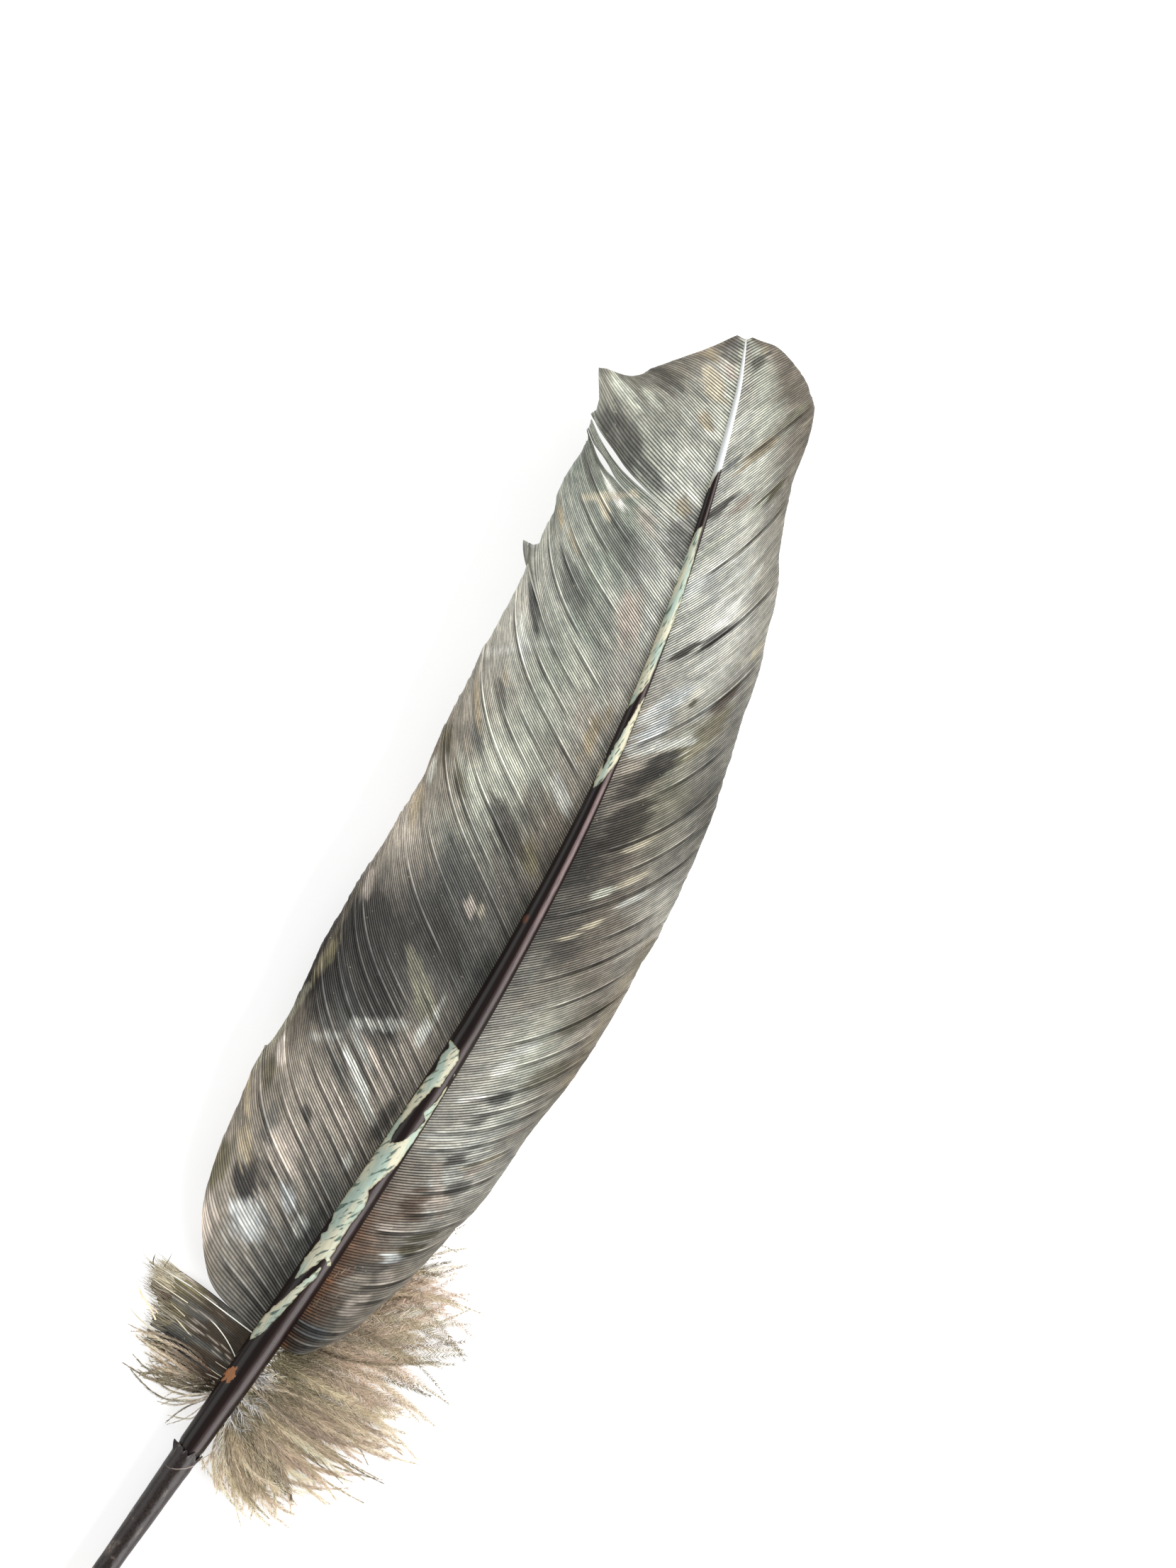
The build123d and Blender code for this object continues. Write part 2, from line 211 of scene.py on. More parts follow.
def add_floor():
    bpy.ops.mesh.primitive_plane_add(size=12, location=(0, 0, 0))
    floor = bpy.context.object
    floor.name = "floor"
    material = bpy.data.materials.new("floor_paper")
    material.use_nodes = True
    shader = material.node_tree.nodes["Principled BSDF"]
    shader.inputs["Base Color"].default_value = (0.6, 0.6, 0.6, 1)
    shader.inputs["Roughness"].default_value = 0.9
    shader.inputs["Specular IOR Level"].default_value = 0.1
    shader.inputs["Emission Color"].default_value = (1, 1, 1, 1)
    shader.inputs["Emission Strength"].default_value = 0.64
    floor.data.materials.append(material)


scene = bpy.context.scene
scene.view_settings.view_transform = "Standard"
world = bpy.data.worlds.new("room")
world.use_nodes = True
world.node_tree.nodes["Background"].inputs["Color"].default_value = (1, 1, 1, 1)
world.node_tree.nodes["Background"].inputs["Strength"].default_value = 0.30
scene.world = world
add_camera()
add_floor()
add_light("window", (0.10, -1.05, 0.52), (0.05, 0, 0), (1.5, 0.8), 19)
add_light("fill", (-0.1, 1.0, 0.8), (0, 0, 0), (1.2, 0.9), 4.8)
add_light("tip_side", (1.2, 0.1, 0.7), (0.1, 0, 0), (0.9, 0.7), 5)

# %% [markdown]
# ## Colours
#
# The feather is never one grey: it is marbled from near black through slate, olive and
# silver to cream and a warm pinkish tan. Each is named once, as it looks, and turned into
# the linear light that shading needs.

# %%
def looks(red, green, blue):
    """A colour as it looks on a screen, 0 to 255, as linear light."""
    c = np.array([red, green, blue]) / 255
    return np.where(c <= 0.04045, c / 12.92, ((c + 0.055) / 1.055) ** 2.4)


BLACK = looks(34, 30, 28)
CHARCOAL = looks(60, 58, 56)
SLATE = looks(84, 86, 84)
BLUE_SLATE = looks(84, 92, 95)
OLIVE_DARK = looks(84, 80, 62)
OLIVE = looks(122, 116, 92)
OLIVE_GREY = looks(140, 139, 122)
GREEN_GREY = looks(146, 153, 143)
PALE_GREEN = looks(196, 199, 186)
SILVER = looks(210, 212, 206)
WHITE = looks(238, 238, 232)
BLUE_WHITE = looks(206, 210, 210)
PINK_GREY = looks(186, 176, 166)
WARM_GREY = looks(158, 151, 141)
TAN = looks(160, 149, 128)
CREAM = looks(198, 190, 170)
BROWN = looks(86, 64, 48)
ASH = looks(110, 108, 102)
STONE = looks(128, 121, 111)
DOVE = looks(176, 174, 166)
LICHEN = looks(134, 139, 131)
RUSSET = looks(122, 100, 86)
RUST = looks(150, 92, 50)

# %% [markdown]
# ## Node materials
#
# A small helper keeps node trees readable: `node` adds one node and joins its inputs, which
# may be numbers or other nodes' outputs.

# %%
class Tree:
    """A material being drawn up."""

    def __init__(self, name):
        self.material = bpy.data.materials.new(name)
        self.material.use_nodes = True
        self.nodes = self.material.node_tree.nodes
        self.links = self.material.node_tree.links
        self.shader = self.nodes["Principled BSDF"]

    def node(self, kind, settings=None, **inputs):
        made = self.nodes.new(kind)
        for key, value in (settings or {}).items():
            setattr(made, key, value)
        for key, value in inputs.items():
            socket = int(key[1:]) if key[0] == "i" and key[1:].isdigit() else key
            self.join(made.inputs[socket], value)
        return made

    def join(self, socket, value):
        if isinstance(value, bpy.types.NodeSocket):
            self.links.new(value, socket)
        elif isinstance(value, np.ndarray):
            socket.default_value = (*value, 1.0) if len(value) == 3 else tuple(value)
        else:
            socket.default_value = value

    def attribute(self, name, output="Fac"):
        return self.node("ShaderNodeAttribute", {"attribute_name": name}).outputs[output]

    def sum(self, operation, a, b=0.0):
        return self.node("ShaderNodeMath", {"operation": operation}, i0=a, i1=b).outputs[0]

    def step(self, value, low, high):
        """0 below low, 1 above high, and a soft step between."""
        ranged = self.node("ShaderNodeMapRange", {"interpolation_type": "SMOOTHSTEP"}, Value=value)
        ranged.inputs["From Min"].default_value = low
        ranged.inputs["From Max"].default_value = high
        return ranged.outputs["Result"]

    def mix(self, factor, a, b, how="MIX"):
        made = self.node("ShaderNodeMix", {"data_type": "RGBA", "blend_type": how})
        for socket, value in zip((made.inputs[0], made.inputs[6], made.inputs[7]), (factor, a, b)):
            self.join(socket, value)
        return made.outputs[2]

    def place(self, scale=(1, 1, 1)):
        """Coordinates on the object, stretched by scale, in bumps per metre."""
        where = self.node("ShaderNodeTexCoord").outputs["Object"]
        mapping = self.node("ShaderNodeMapping", Vector=where)
        mapping.inputs["Scale"].default_value = scale
        return mapping.outputs[0]

    def noise(self, place, scale=1.0, detail=3.0, rough=0.55):
        made = self.node("ShaderNodeTexNoise", Vector=place, Scale=scale, Detail=detail, Roughness=rough)
        return made.outputs["Fac"]

    def bump(self, height, distance, strength=1.0):
        made = self.node("ShaderNodeBump", Height=height, Distance=distance, Strength=strength)
        self.join(self.shader.inputs["Normal"], made.outputs[0])

    def finish(self, colour, roughness, **fixed):
        self.join(self.shader.inputs["Base Color"], colour)
        self.join(self.shader.inputs["Roughness"], roughness)
        for key, value in fixed.items():
            self.shader.inputs[key.replace("_", " ")].default_value = value
        return self.material


# %% [markdown]
# ## What the barbs are made of
#
# A vane is hundreds of pale, stiff ridges with hooked barbules shut between them. The ridge
# catches the light and the furrow beside it is in shade, and the colour paints both in: each
# strip of mesh carries how far a point is from its ridge (`across`), how strong the painted
# furrow shade and ridge highlight are there (`rib`), and its own marbled colour (`tint`). Fine
# noise breaks the ridges up and scatters pale flecks.

# %%
def barb_material():
    t = Tree("ribbed_barbs")
    tint = t.attribute("tint", "Color")
    across = t.attribute("across")
    rib = t.attribute("rib")
    root, travel = t.attribute("root"), t.attribute("travel")
    drawn_out = t.node("ShaderNodeCombineXYZ", i0=root, i1=t.sum("MULTIPLY", travel, 0.14)).outputs[0]
    patchy = t.node("ShaderNodeCombineXYZ", i0=t.sum("MULTIPLY", root, 0.42),
                    i1=t.sum("MULTIPLY", travel, 0.20)).outputs[0]
    streaks = t.step(t.noise(drawn_out, 1.5, 4, 0.7), 0.34, 0.66)
    patches = t.step(t.noise(patchy, 1.0, 7, 0.72), 0.41, 0.59)
    tint = t.mix(1.0, tint, t.mix(streaks, np.full(3, 0.80), np.full(3, 1.20)), "MULTIPLY")
    tint = t.mix(1.0, tint, t.mix(patches, np.array([0.84, 0.85, 0.86]), np.array([1.15, 1.14, 1.12])),
                 "MULTIPLY")
    ridge = t.step(t.sum("ABSOLUTE", across), 0.86, 0.22)
    fine = t.noise(t.place((1, 1, 1)), 2600, 3, 0.6)
    broken = t.sum("ADD", ridge, t.sum("MULTIPLY", t.sum("SUBTRACT", fine, 0.5), 0.5))
    # Painted shade: the furrow between barbs is darkened towards black where rib is strong. The crest is
    # partly the barb's own pale ridge and partly a painted highlight, brightened by half.
    furrow_shade_depth = t.sum("MULTIPLY", rib, 0.86)
    furrow = t.mix(furrow_shade_depth, tint, BLACK * 0.5)
    pale_crest_and_highlight = t.mix(1.0, tint, np.array([1.45, 1.43, 1.38]), "MULTIPLY")
    crest = t.mix(t.sum("MULTIPLY", rib, 0.045), pale_crest_and_highlight, looks(226, 222, 212))
    ribbed = t.mix(broken, furrow, crest)
    mottle = t.noise(t.place((1, 1, 1)), 420, 4, 0.6)
    shade = t.sum("MULTIPLY_ADD", mottle, 0.5)
    shade.node.inputs[2].default_value = 0.76
    shaded = t.mix(1.0, ribbed, t.node("ShaderNodeCombineColor", i0=shade, i1=shade, i2=shade).outputs[0],
                   "MULTIPLY")
    flecks = t.step(t.noise(t.place((1, 1, 1)), 1500, 2, 0.5), 0.70, 0.78)
    colour = t.mix(t.sum("MULTIPLY", flecks, 0.45), shaded, CREAM)
    t.bump(t.sum("ADD", t.sum("MULTIPLY", ridge, 0.7), t.sum("MULTIPLY", fine, 0.5)), 0.00006, 0.6)
    roughness = t.sum("MULTIPLY_ADD", fine, 0.2)
    roughness.node.inputs[2].default_value = 0.42
    return t.finish(colour, roughness, Specular_IOR_Level=0.2)


def down_material():
    t = Tree("soft_down")
    tint = t.attribute("tint", "Color")
    fine = t.noise(t.place((1, 1, 1)), 900, 3, 0.6)
    shade = t.sum("MULTIPLY_ADD", fine, 0.5)
    shade.node.inputs[2].default_value = 0.78
    colour = t.mix(1.0, tint, t.node("ShaderNodeCombineColor", i0=shade, i1=shade, i2=shade).outputs[0],
                   "MULTIPLY")
    t.bump(fine, 0.00003, 0.4)
    return t.finish(colour, 0.7, Specular_IOR_Level=0.2)


BARBS = barb_material()
DOWN = down_material()
print("materials so far:", BARBS.name, DOWN.name)

# %% [markdown]
# ## Mesh from arrays
#
# All the feather's meshes are grids: `rows` by `columns` of points, many grids to a piece.
# `grid_mesh` joins them into one object and hangs the named values on its points.

# %%
def grid_mesh(name, blocks, material, body="pen"):
    """One object from blocks of grids: (points, values), with points shaped
    (grids, rows, columns, 3) in millimetres, and a value for every point by name."""
    places, quads, start = [], [], 0
    for points, _ in blocks:
        count = points.size // 3
        index = np.arange(count).reshape(points.shape[:3]) + start
        corners = [index[:, :-1, :-1], index[:, :-1, 1:], index[:, 1:, 1:], index[:, 1:, :-1]]
        quads.append(np.stack(corners, -1).reshape(-1, 4))
        places.append(points.reshape(-1, 3))
        start += count
    quads = np.concatenate(quads)
    mesh = bpy.data.meshes.new(name)
    mesh.vertices.add(start)
    mesh.vertices.foreach_set("co", to_row(np.concatenate(places)).astype(np.float32).ravel())
    mesh.loops.add(quads.size)
    mesh.loops.foreach_set("vertex_index", quads.astype(np.int32).ravel())
    mesh.polygons.add(len(quads))
    mesh.polygons.foreach_set("loop_start", np.arange(0, quads.size, 4, dtype=np.int32))
    mesh.update(calc_edges=True)
    mesh.polygons.foreach_set("use_smooth", np.ones(len(quads), bool))
    for key in blocks[0][1]:
        if key == "tint":
            full = [np.broadcast_to(v[key], p.shape).reshape(-1, 3) for p, v in blocks]
            full = np.column_stack([np.concatenate(full), np.ones(start)])
            layer = mesh.attributes.new(key, "FLOAT_COLOR", "POINT")
            layer.data.foreach_set("color", full.astype(np.float32).ravel())
        else:
            full = [np.broadcast_to(v[key], p.shape[:3]).ravel() for p, v in blocks]
            layer = mesh.attributes.new(key, "FLOAT", "POINT")
            layer.data.foreach_set("value", np.concatenate(full).astype(np.float32))
    mesh.materials.append(material)
    made = bpy.data.objects.new(name, mesh)
    scene.collection.objects.link(made)
    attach(made, body)
    return made


# %% [markdown]
# ## Where the barbs run
#
# Each barb leaves the shaft at its own angle and bends towards the tip. Long slow waves in
# the angle make the locks lean together and apart. At a split the barbs on both sides draw
# away from each other: a wedge stays open to the edge, and a lens closes again before it.

# %%
PITCH = 0.55
STEPS = 48
SPAN = {LEFT: (50.95, 249.2), RIGHT: (51.5, 249.2)}

# (root, share of the barb where it opens and where it ends, half its width, does it close again)
SPLITS = {LEFT: [(212.2, 0.64, 0.90, 0.5, True), (215.2, 0.40, 1.0, 0.70, False)], RIGHT: []}
# (x, y) of barb ends that are drawn out into a spike
SPIKES = {LEFT: [(94.5, 31.0), (166.8, 38.6), (196.6, 45.3), (222.3, 48.4), (230.0, 52.0)],
          RIGHT: [(87.5, -16.4)]}
SPLIT_REACH = 2.2
# where one lock of barbs lies over the next, and they only part by a hair
LAPS = {LEFT: [71.5, 79.0, 92.5, 99.0, 106.4, 120.0, 135.5, 151.0, 165.5, 174.0, 181.5, 191.0, 203.0],
        RIGHT: [66.0, 77.0, 85.0, 94.0, 97.5, 104.0, 115.0, 128.0, 142.0, 154.0, 176.0, 190.0, 206.0,
                226.0]}


def barb_lines(side):
    """Roots, and the centre line of each barb of one vane, shaped (barbs, steps + 1, 3)."""
    first, last = SPAN[side]
    count = int((last - first) / PITCH)
    roots = np.linspace(first, last, count)
    share = (np.arange(STEPS) + 0.5) / STEPS
    turn = (np.clip(share - 0.4, 0, None) / 0.6) ** 1.5 if side == LEFT else share**1.25
    angle = smooth(ANGLE[side], roots)[:, None] - smooth(BEND[side], roots)[:, None] * turn
    angle = angle + 1.3 * grain(roots[:, None] / 7, share * 1.2, 11 + side) * share
    length = smooth(LENGTH[side], roots) * (1 + 0.006 * grain(roots / 0.7, 0.5, 31 + side))
    length = length + 0.35 * grain(roots / 5, 0.2, 41 + side)
    pace = np.maximum(length, 0.6)[:, None] / STEPS
    x = np.cumsum(np.cos(np.radians(angle)) * pace, axis=1)
    y = np.cumsum(np.sin(np.radians(angle)) * pace * side, axis=1)
    x = np.concatenate([np.zeros((count, 1)), x], axis=1) + roots[:, None]
    y = np.concatenate([np.zeros((count, 1)), y], axis=1) + (shaft_side(roots, side) - side * 0.25)[:, None]

    along = np.linspace(0, 1, STEPS + 1)
    heading = np.radians(np.concatenate([angle[:, :1], angle], axis=1))
    for root, start, end, half, closes in SPLITS[side]:
        away = roots - root
        pull = half * np.sign(away) * np.exp(-np.abs(away) / SPLIT_REACH)
        course = np.clip((along - start) / (end - start), 0, 1)
        course = np.sin(math.pi * course) if closes else course**0.7
        x = x + pull[:, None] * course * np.sin(heading)
        y = y - pull[:, None] * course * np.cos(heading) * side
    for spike_x, spike_y in SPIKES[side]:
        nearest = int(np.argmin(np.hypot(x[:, -1] - spike_x, y[:, -1] - spike_y)))
        for i in range(max(nearest - 5, 0), min(nearest + 3, count)):
            fall = 0.72 if i < nearest else 0.28
            draw_out = fall ** abs(i - nearest) * ease(along, 0.72, 1.0)
            x[i] += (spike_x - x[i, -1]) * draw_out
            y[i] += (spike_y - y[i, -1]) * draw_out
    return roots, x, y


def sheet_height(side, roots, x, y):
    """How high the vane lies: it rises to its edge, ripples, and tilts between laps."""
    share = np.linspace(0, 1, STEPS + 1)[None, :]
    low = smooth(LINE_Z, roots) - 0.22 * smooth(SHAFT_WIDTH, roots) + 0.2
    z = low[:, None] + smooth(RISE[side], roots)[:, None] * share**1.6
    z = z + 0.45 * grain(roots[:, None] / 9, share * 2, 51 + side) * ease(share, 0.05, 0.6)
    edges = sorted([*SPAN[side], *LAPS[side], *(split[0] for split in SPLITS[side])])
    for begin, end in zip(edges, edges[1:]):
        inside = (roots >= begin) & (roots < end)
        tilt = (roots[inside] - begin) / (end - begin) - 0.5
        z[inside] += 0.55 * tilt[:, None] * ease(share, 0.05, 0.5)
    return z


for side in (LEFT, RIGHT):
    roots, x, y = barb_lines(side)
    print("left" if side == LEFT else "right", "vane:", len(roots), "barbs, reaching y",
          round(float((y * side).max() * side), 1), "mm")

# %% [markdown]
# ## Marbling
#
# The ground colour is told where it changes along the feather, from the shaft outwards:
# inner, middle and outer. Spots and bands are laid over it. A spot is stretched along the barbs,
# and each barb takes a little more or less of it, so its ends fray into streaks.

# %%
GROUND = {
    LEFT: [
        (50, ASH, ASH, STONE),
        (73, SLATE, WARM_GREY, STONE),
        (95, WARM_GREY, WARM_GREY, STONE),
        (108, WARM_GREY, SLATE, BLACK),
        (126, SLATE, CHARCOAL, CHARCOAL),
        (140, ASH, SLATE, WARM_GREY),
        (158, STONE, PALE_GREEN, STONE),
        (185, DOVE, GREEN_GREY, DOVE),
        (212, SILVER, GREEN_GREY, LICHEN),
        (245, PALE_GREEN, DOVE, STONE),
    ],
    RIGHT: [
        (50, BROWN, SLATE, STONE),
        (75, RUSSET, STONE, WARM_GREY),
        (100, DOVE, SILVER, DOVE),
        (120, DOVE, PALE_GREEN, WARM_GREY),
        (138, ASH, STONE, WARM_GREY),
        (158, CHARCOAL, STONE, DOVE),
        (175, WARM_GREY, OLIVE_GREY, ASH),
        (205, SILVER, WHITE, DOVE),
        (245, DOVE, PALE_GREEN, STONE),
    ],
}
ROW_SHARES = (0.12, 0.45, 0.8)

# (colour, x, y, half length along the barb, half width across the barbs, strength)
SPOTS = {
    LEFT: [(PINK_GREY, 61, 22, 4, 4, 0.9), (BLUE_WHITE, 66.5, 15.5, 5, 3.5, 0.8),
           (CHARCOAL, 72, 19.5, 4, 3, 1), (OLIVE_DARK, 72, 25.5, 3, 4, 0.8),
           (TAN, 77.5, 23.5, 3.5, 2.2, 0.9), (BLUE_WHITE, 74, 12, 2.5, 1.5, 0.7),
           (CHARCOAL, 76, 18.5, 4, 2.0, 0.6), (PINK_GREY, 81, 18, 6, 3, 0.8),
           (SLATE, 84, 22, 3, 2.5, 0.7), (SILVER, 71, 6.5, 1.6, 2, 0.5),
           (SILVER, 85.5, 6.2, 1.2, 2.5, 0.6), (SLATE, 80.5, 7, 3, 1.5, 0.6),
           (CHARCOAL, 89, 17.5, 2.2, 1.4, 0.9), (TAN, 86, 28.8, 4, 1.5, 0.9),
           (OLIVE_DARK, 91, 27.5, 3, 2, 0.7), (PINK_GREY, 95.5, 27.8, 2.5, 2, 1),
           (PINK_GREY, 92, 12, 6, 1.5, 0.7), (SILVER, 97, 11, 8, 1.0, 0.9),
           (SILVER, 100.5, 15, 7, 0.9, 0.9), (SLATE, 98.5, 18, 5, 1.3, 0.8),
           (PINK_GREY, 103, 12, 7, 1.4, 0.7), (SILVER, 104, 16.5, 6, 0.8, 0.8),
           (CHARCOAL, 96, 5.5, 2, 5, 0.8), (SLATE, 104.5, 24.5, 4, 1.6, 0.8),
           (CHARCOAL, 113, 19, 8, 4.5, 1), (CHARCOAL, 117, 25, 8, 4, 0.9),
           (CHARCOAL, 107, 27.5, 3, 4, 0.7), (SILVER, 114, 8.6, 1.3, 6, 0.9),
           (OLIVE_GREY, 118, 12, 4, 3, 0.9), (OLIVE_GREY, 121, 16, 4, 2, 0.6),
           (CHARCOAL, 124, 26, 6, 4, 0.8), (PINK_GREY, 129.5, 32.5, 2.2, 2.2, 0.5),
           (OLIVE, 114, 31, 2, 5, 0.7), (CHARCOAL, 128, 14, 6, 5, 0.7),
           (PINK_GREY, 136.5, 15, 2, 1.6, 0.9), (CREAM, 137.5, 12.5, 1.3, 1.2, 0.7),
           (SLATE, 140, 21, 5, 3, 0.7), (TAN, 146, 33.5, 3, 3, 0.7), (OLIVE, 150, 11, 3, 3, 0.8),
           (CHARCOAL, 152, 18, 7, 4, 0.75), (CHARCOAL, 157.5, 15.5, 3.4, 4.4, 0.5),
           (PALE_GREEN, 155, 26, 5, 2.4, 0.9), (SILVER, 153, 35, 3, 2, 0.6),
           (OLIVE_DARK, 159, 36, 4, 2, 0.9), (OLIVE_DARK, 154.5, 30, 4, 1.4, 0.8),
           (SLATE, 163, 32, 5, 2, 0.6), (TAN, 168, 35.5, 4.5, 1.4, 0.9), (SILVER, 162, 13, 4, 2, 0.7),
           (CHARCOAL, 171.7, 32.3, 3.2, 1.8, 0.6), (TAN, 174, 33.5, 2, 1.0, 0.8),
           (TAN, 175, 14.6, 1.6, 4.5, 1), (TAN, 179, 14.0, 1.5, 2.2, 0.7),
           (WARM_GREY, 178, 18.5, 2, 3, 0.6), (SILVER, 182, 35, 4, 2, 0.8),
           (PALE_GREEN, 184, 24, 9, 3, 0.7), (SLATE, 187, 36, 4, 2, 0.9), (SLATE, 195, 33, 7, 4, 0.6),
           (PINK_GREY, 196, 21.5, 3.5, 5, 0.9), (SILVER, 199, 18.5, 1.6, 5, 0.6),
           (TAN, 203.5, 42, 3, 1.2, 0.9), (TAN, 201.5, 38, 3, 0.9, 0.6), (SLATE, 207, 30, 6, 4, 0.5),
           (CHARCOAL, 213, 22.2, 3.6, 6.5, 0.6), (CREAM, 209.8, 36.5, 2.2, 1.3, 0.9),
           (WHITE, 213, 37.0, 4.2, 2.0, 1), (PINK_GREY, 212.5, 29, 3.5, 2.4, 0.6),
           (CHARCOAL, 214, 43.5, 5, 1.5, 0.6), (PALE_GREEN, 216.5, 26.5, 3, 1.6, 0.8),
           (TAN, 218.5, 25, 1.8, 1.8, 0.7), (CHARCOAL, 221, 40.5, 7, 3.5, 0.75),
           (SLATE, 219.5, 33.5, 4, 2, 0.7), (PALE_GREEN, 229, 45.5, 6, 1.7, 1),
           (PALE_GREEN, 231, 41, 3, 1.3, 0.7), (TAN, 233.5, 30.3, 2.2, 1.5, 0.8),
           (CHARCOAL, 236, 41, 4, 4, 0.55), (CREAM, 239.5, 33, 3.2, 2.4, 1),
           (PINK_GREY, 243.2, 32, 1.8, 1.6, 0.9), (TAN, 243.5, 37, 2.2, 1.0, 0.8),
           (CHARCOAL, 247, 34.4, 2.2, 3.0, 0.6)],
    RIGHT: [(RUST, 60, -3.1, 1.0, 8, 0.25), (RUST, 76, -2.9, 0.8, 12, 0.2),
            (BLUE_SLATE, 57, -6, 4, 1.6, 0.8), (PINK_GREY, 64.5, -9.5, 2.5, 2.6, 0.8),
            (WARM_GREY, 68.5, -7.5, 2.6, 2, 0.7), (SLATE, 72, -8, 3, 1.2, 0.6),
            (BLUE_WHITE, 76, -10.2, 2.8, 1.1, 1), (PINK_GREY, 72.5, -11.5, 2, 1.6, 0.8),
            (OLIVE_DARK, 79, -12, 2.5, 1.4, 0.9), (PINK_GREY, 80.5, -7, 3.5, 0.8, 0.8),
            (OLIVE_DARK, 82, -12.5, 3, 1.2, 0.8), (BROWN, 86, -8, 4, 3.5, 0.8),
            (PINK_GREY, 89, -11.5, 3, 1.7, 1), (SILVER, 92.5, -9.3, 2, 1.3, 0.9),
            (CHARCOAL, 92.8, -12.8, 2.6, 1.6, 0.7), (SILVER, 95.5, -5, 3.5, 0.6, 0.9),
            (SILVER, 99.5, -5, 4, 1.0, 0.9), (CHARCOAL, 97, -9.5, 2.5, 1.2, 0.8),
            (PINK_GREY, 98, -13, 2, 1.8, 0.9), (CREAM, 101, -14.5, 2.5, 0.8, 0.8),
            (BROWN, 104, -14.2, 2.5, 1.6, 0.3), (PINK_GREY, 108, -15.5, 3, 1.2, 0.8),
            (CHARCOAL, 104.8, -8.8, 2.4, 1.0, 0.7), (WHITE, 108, -5, 4, 1.3, 0.8),
            (SLATE, 111, -9.5, 3, 1.2, 0.8), (WHITE, 116, -7, 2, 1.6, 0.9),
            (SILVER, 121, -8, 4, 1.6, 0.8), (OLIVE, 119, -14, 5, 3, 0.6),
            (WARM_GREY, 129, -3.5, 4, 3, 0.6), (OLIVE_DARK, 131, -14, 5, 2.5, 0.6),
            (CHARCOAL, 139, -4, 4, 3, 0.5), (CREAM, 142.5, -3, 2.6, 0.6, 0.9),
            (CREAM, 146.5, -5, 2.2, 0.7, 0.9), (PALE_GREEN, 152, -3.5, 2.8, 0.9, 0.9),
            (CREAM, 157.5, -6.5, 3, 1.0, 0.9), (SILVER, 154.5, -8.5, 3, 0.9, 0.8),
            (CREAM, 163, -3.8, 3.4, 0.9, 0.8), (BLACK, 165, 0.5, 5, 5, 0.75),
            (BLACK, 173, 2.6, 5, 3, 0.75), (CHARCOAL, 178, 1.0, 5, 2.5, 0.9),
            (BLUE_WHITE, 181.5, 5.8, 5, 2.3, 1), (BLUE_WHITE, 187.5, 6.5, 5, 2.6, 0.9),
            (OLIVE, 187, -2.5, 6, 4, 0.7), (OLIVE_DARK, 190.2, 3.2, 1.2, 1.0, 0.9),
            (SILVER, 190.5, 0.3, 3, 1.0, 0.8), (BROWN, 193, -1.5, 4, 1.6, 0.7),
            (SILVER, 197, 5.2, 1.8, 1.0, 0.8), (BLACK, 197, 9.6, 3, 1.2, 0.9),
            (BLACK, 202, 6.6, 4, 1.5, 0.8), (CREAM, 204.5, -1.2, 2, 1.4, 0.8),
            (SILVER, 210, 11.5, 7, 2.6, 1), (BLUE_WHITE, 208.5, 14.5, 4, 1.6, 0.8),
            (PALE_GREEN, 216, 16, 4, 1.8, 0.8), (SILVER, 214, 7.6, 3, 1.0, 0.8),
            (CHARCOAL, 222, 19.3, 4, 1.4, 0.9), (PINK_GREY, 224.5, 16.6, 3.5, 1.2, 1),
            (OLIVE_DARK, 229, 13.0, 4.5, 1.6, 0.9), (TAN, 234, 19.6, 5, 1.3, 0.9),
            (PALE_GREEN, 226, 13.8, 2.5, 0.7, 0.7), (SILVER, 237, 25.4, 4, 1.6, 0.7),
            (BLUE_SLATE, 229.5, 22.2, 2.5, 1.0, 0.6), (OLIVE_GREY, 243, 18, 3.5, 1.5, 0.8),
            (CHARCOAL, 247.5, 28.8, 2, 1.2, 0.7),
            (CREAM, 244, 15.3, 2, 0.8, 0.8), (TAN, 250, 29.2, 0.9, 0.7, 0.8)]}

# (colour, from x, y, to x, y, half width, strength): these cross the barbs
BANDS = {
    LEFT: [(SILVER, 107, 20, 112, 12.2, 1.1, 0.6), (SILVER, 100.5, 25, 103.5, 21, 0.9, 0.45),
           (CREAM, 209.3, 40.5, 215, 33.5, 0.7, 0.8), (OLIVE_GREY, 90, 30, 108, 30.6, 0.6, 0.6),
           (TAN, 111, 31.2, 128, 33.6, 0.6, 0.2), (SILVER, 176, 39, 184, 30.5, 0.8, 0.4)],
    RIGHT: [(PINK_GREY, 87, -13.2, 94.5, -7.2, 0.9, 0.9), (SILVER, 176, 7.2, 184.5, -0.6, 0.8, 0.9),
            (TAN, 120, -17.6, 150, -15.6, 0.9, 0.5), (CREAM, 96.5, -11, 103, -16, 0.5, 0.7)]}


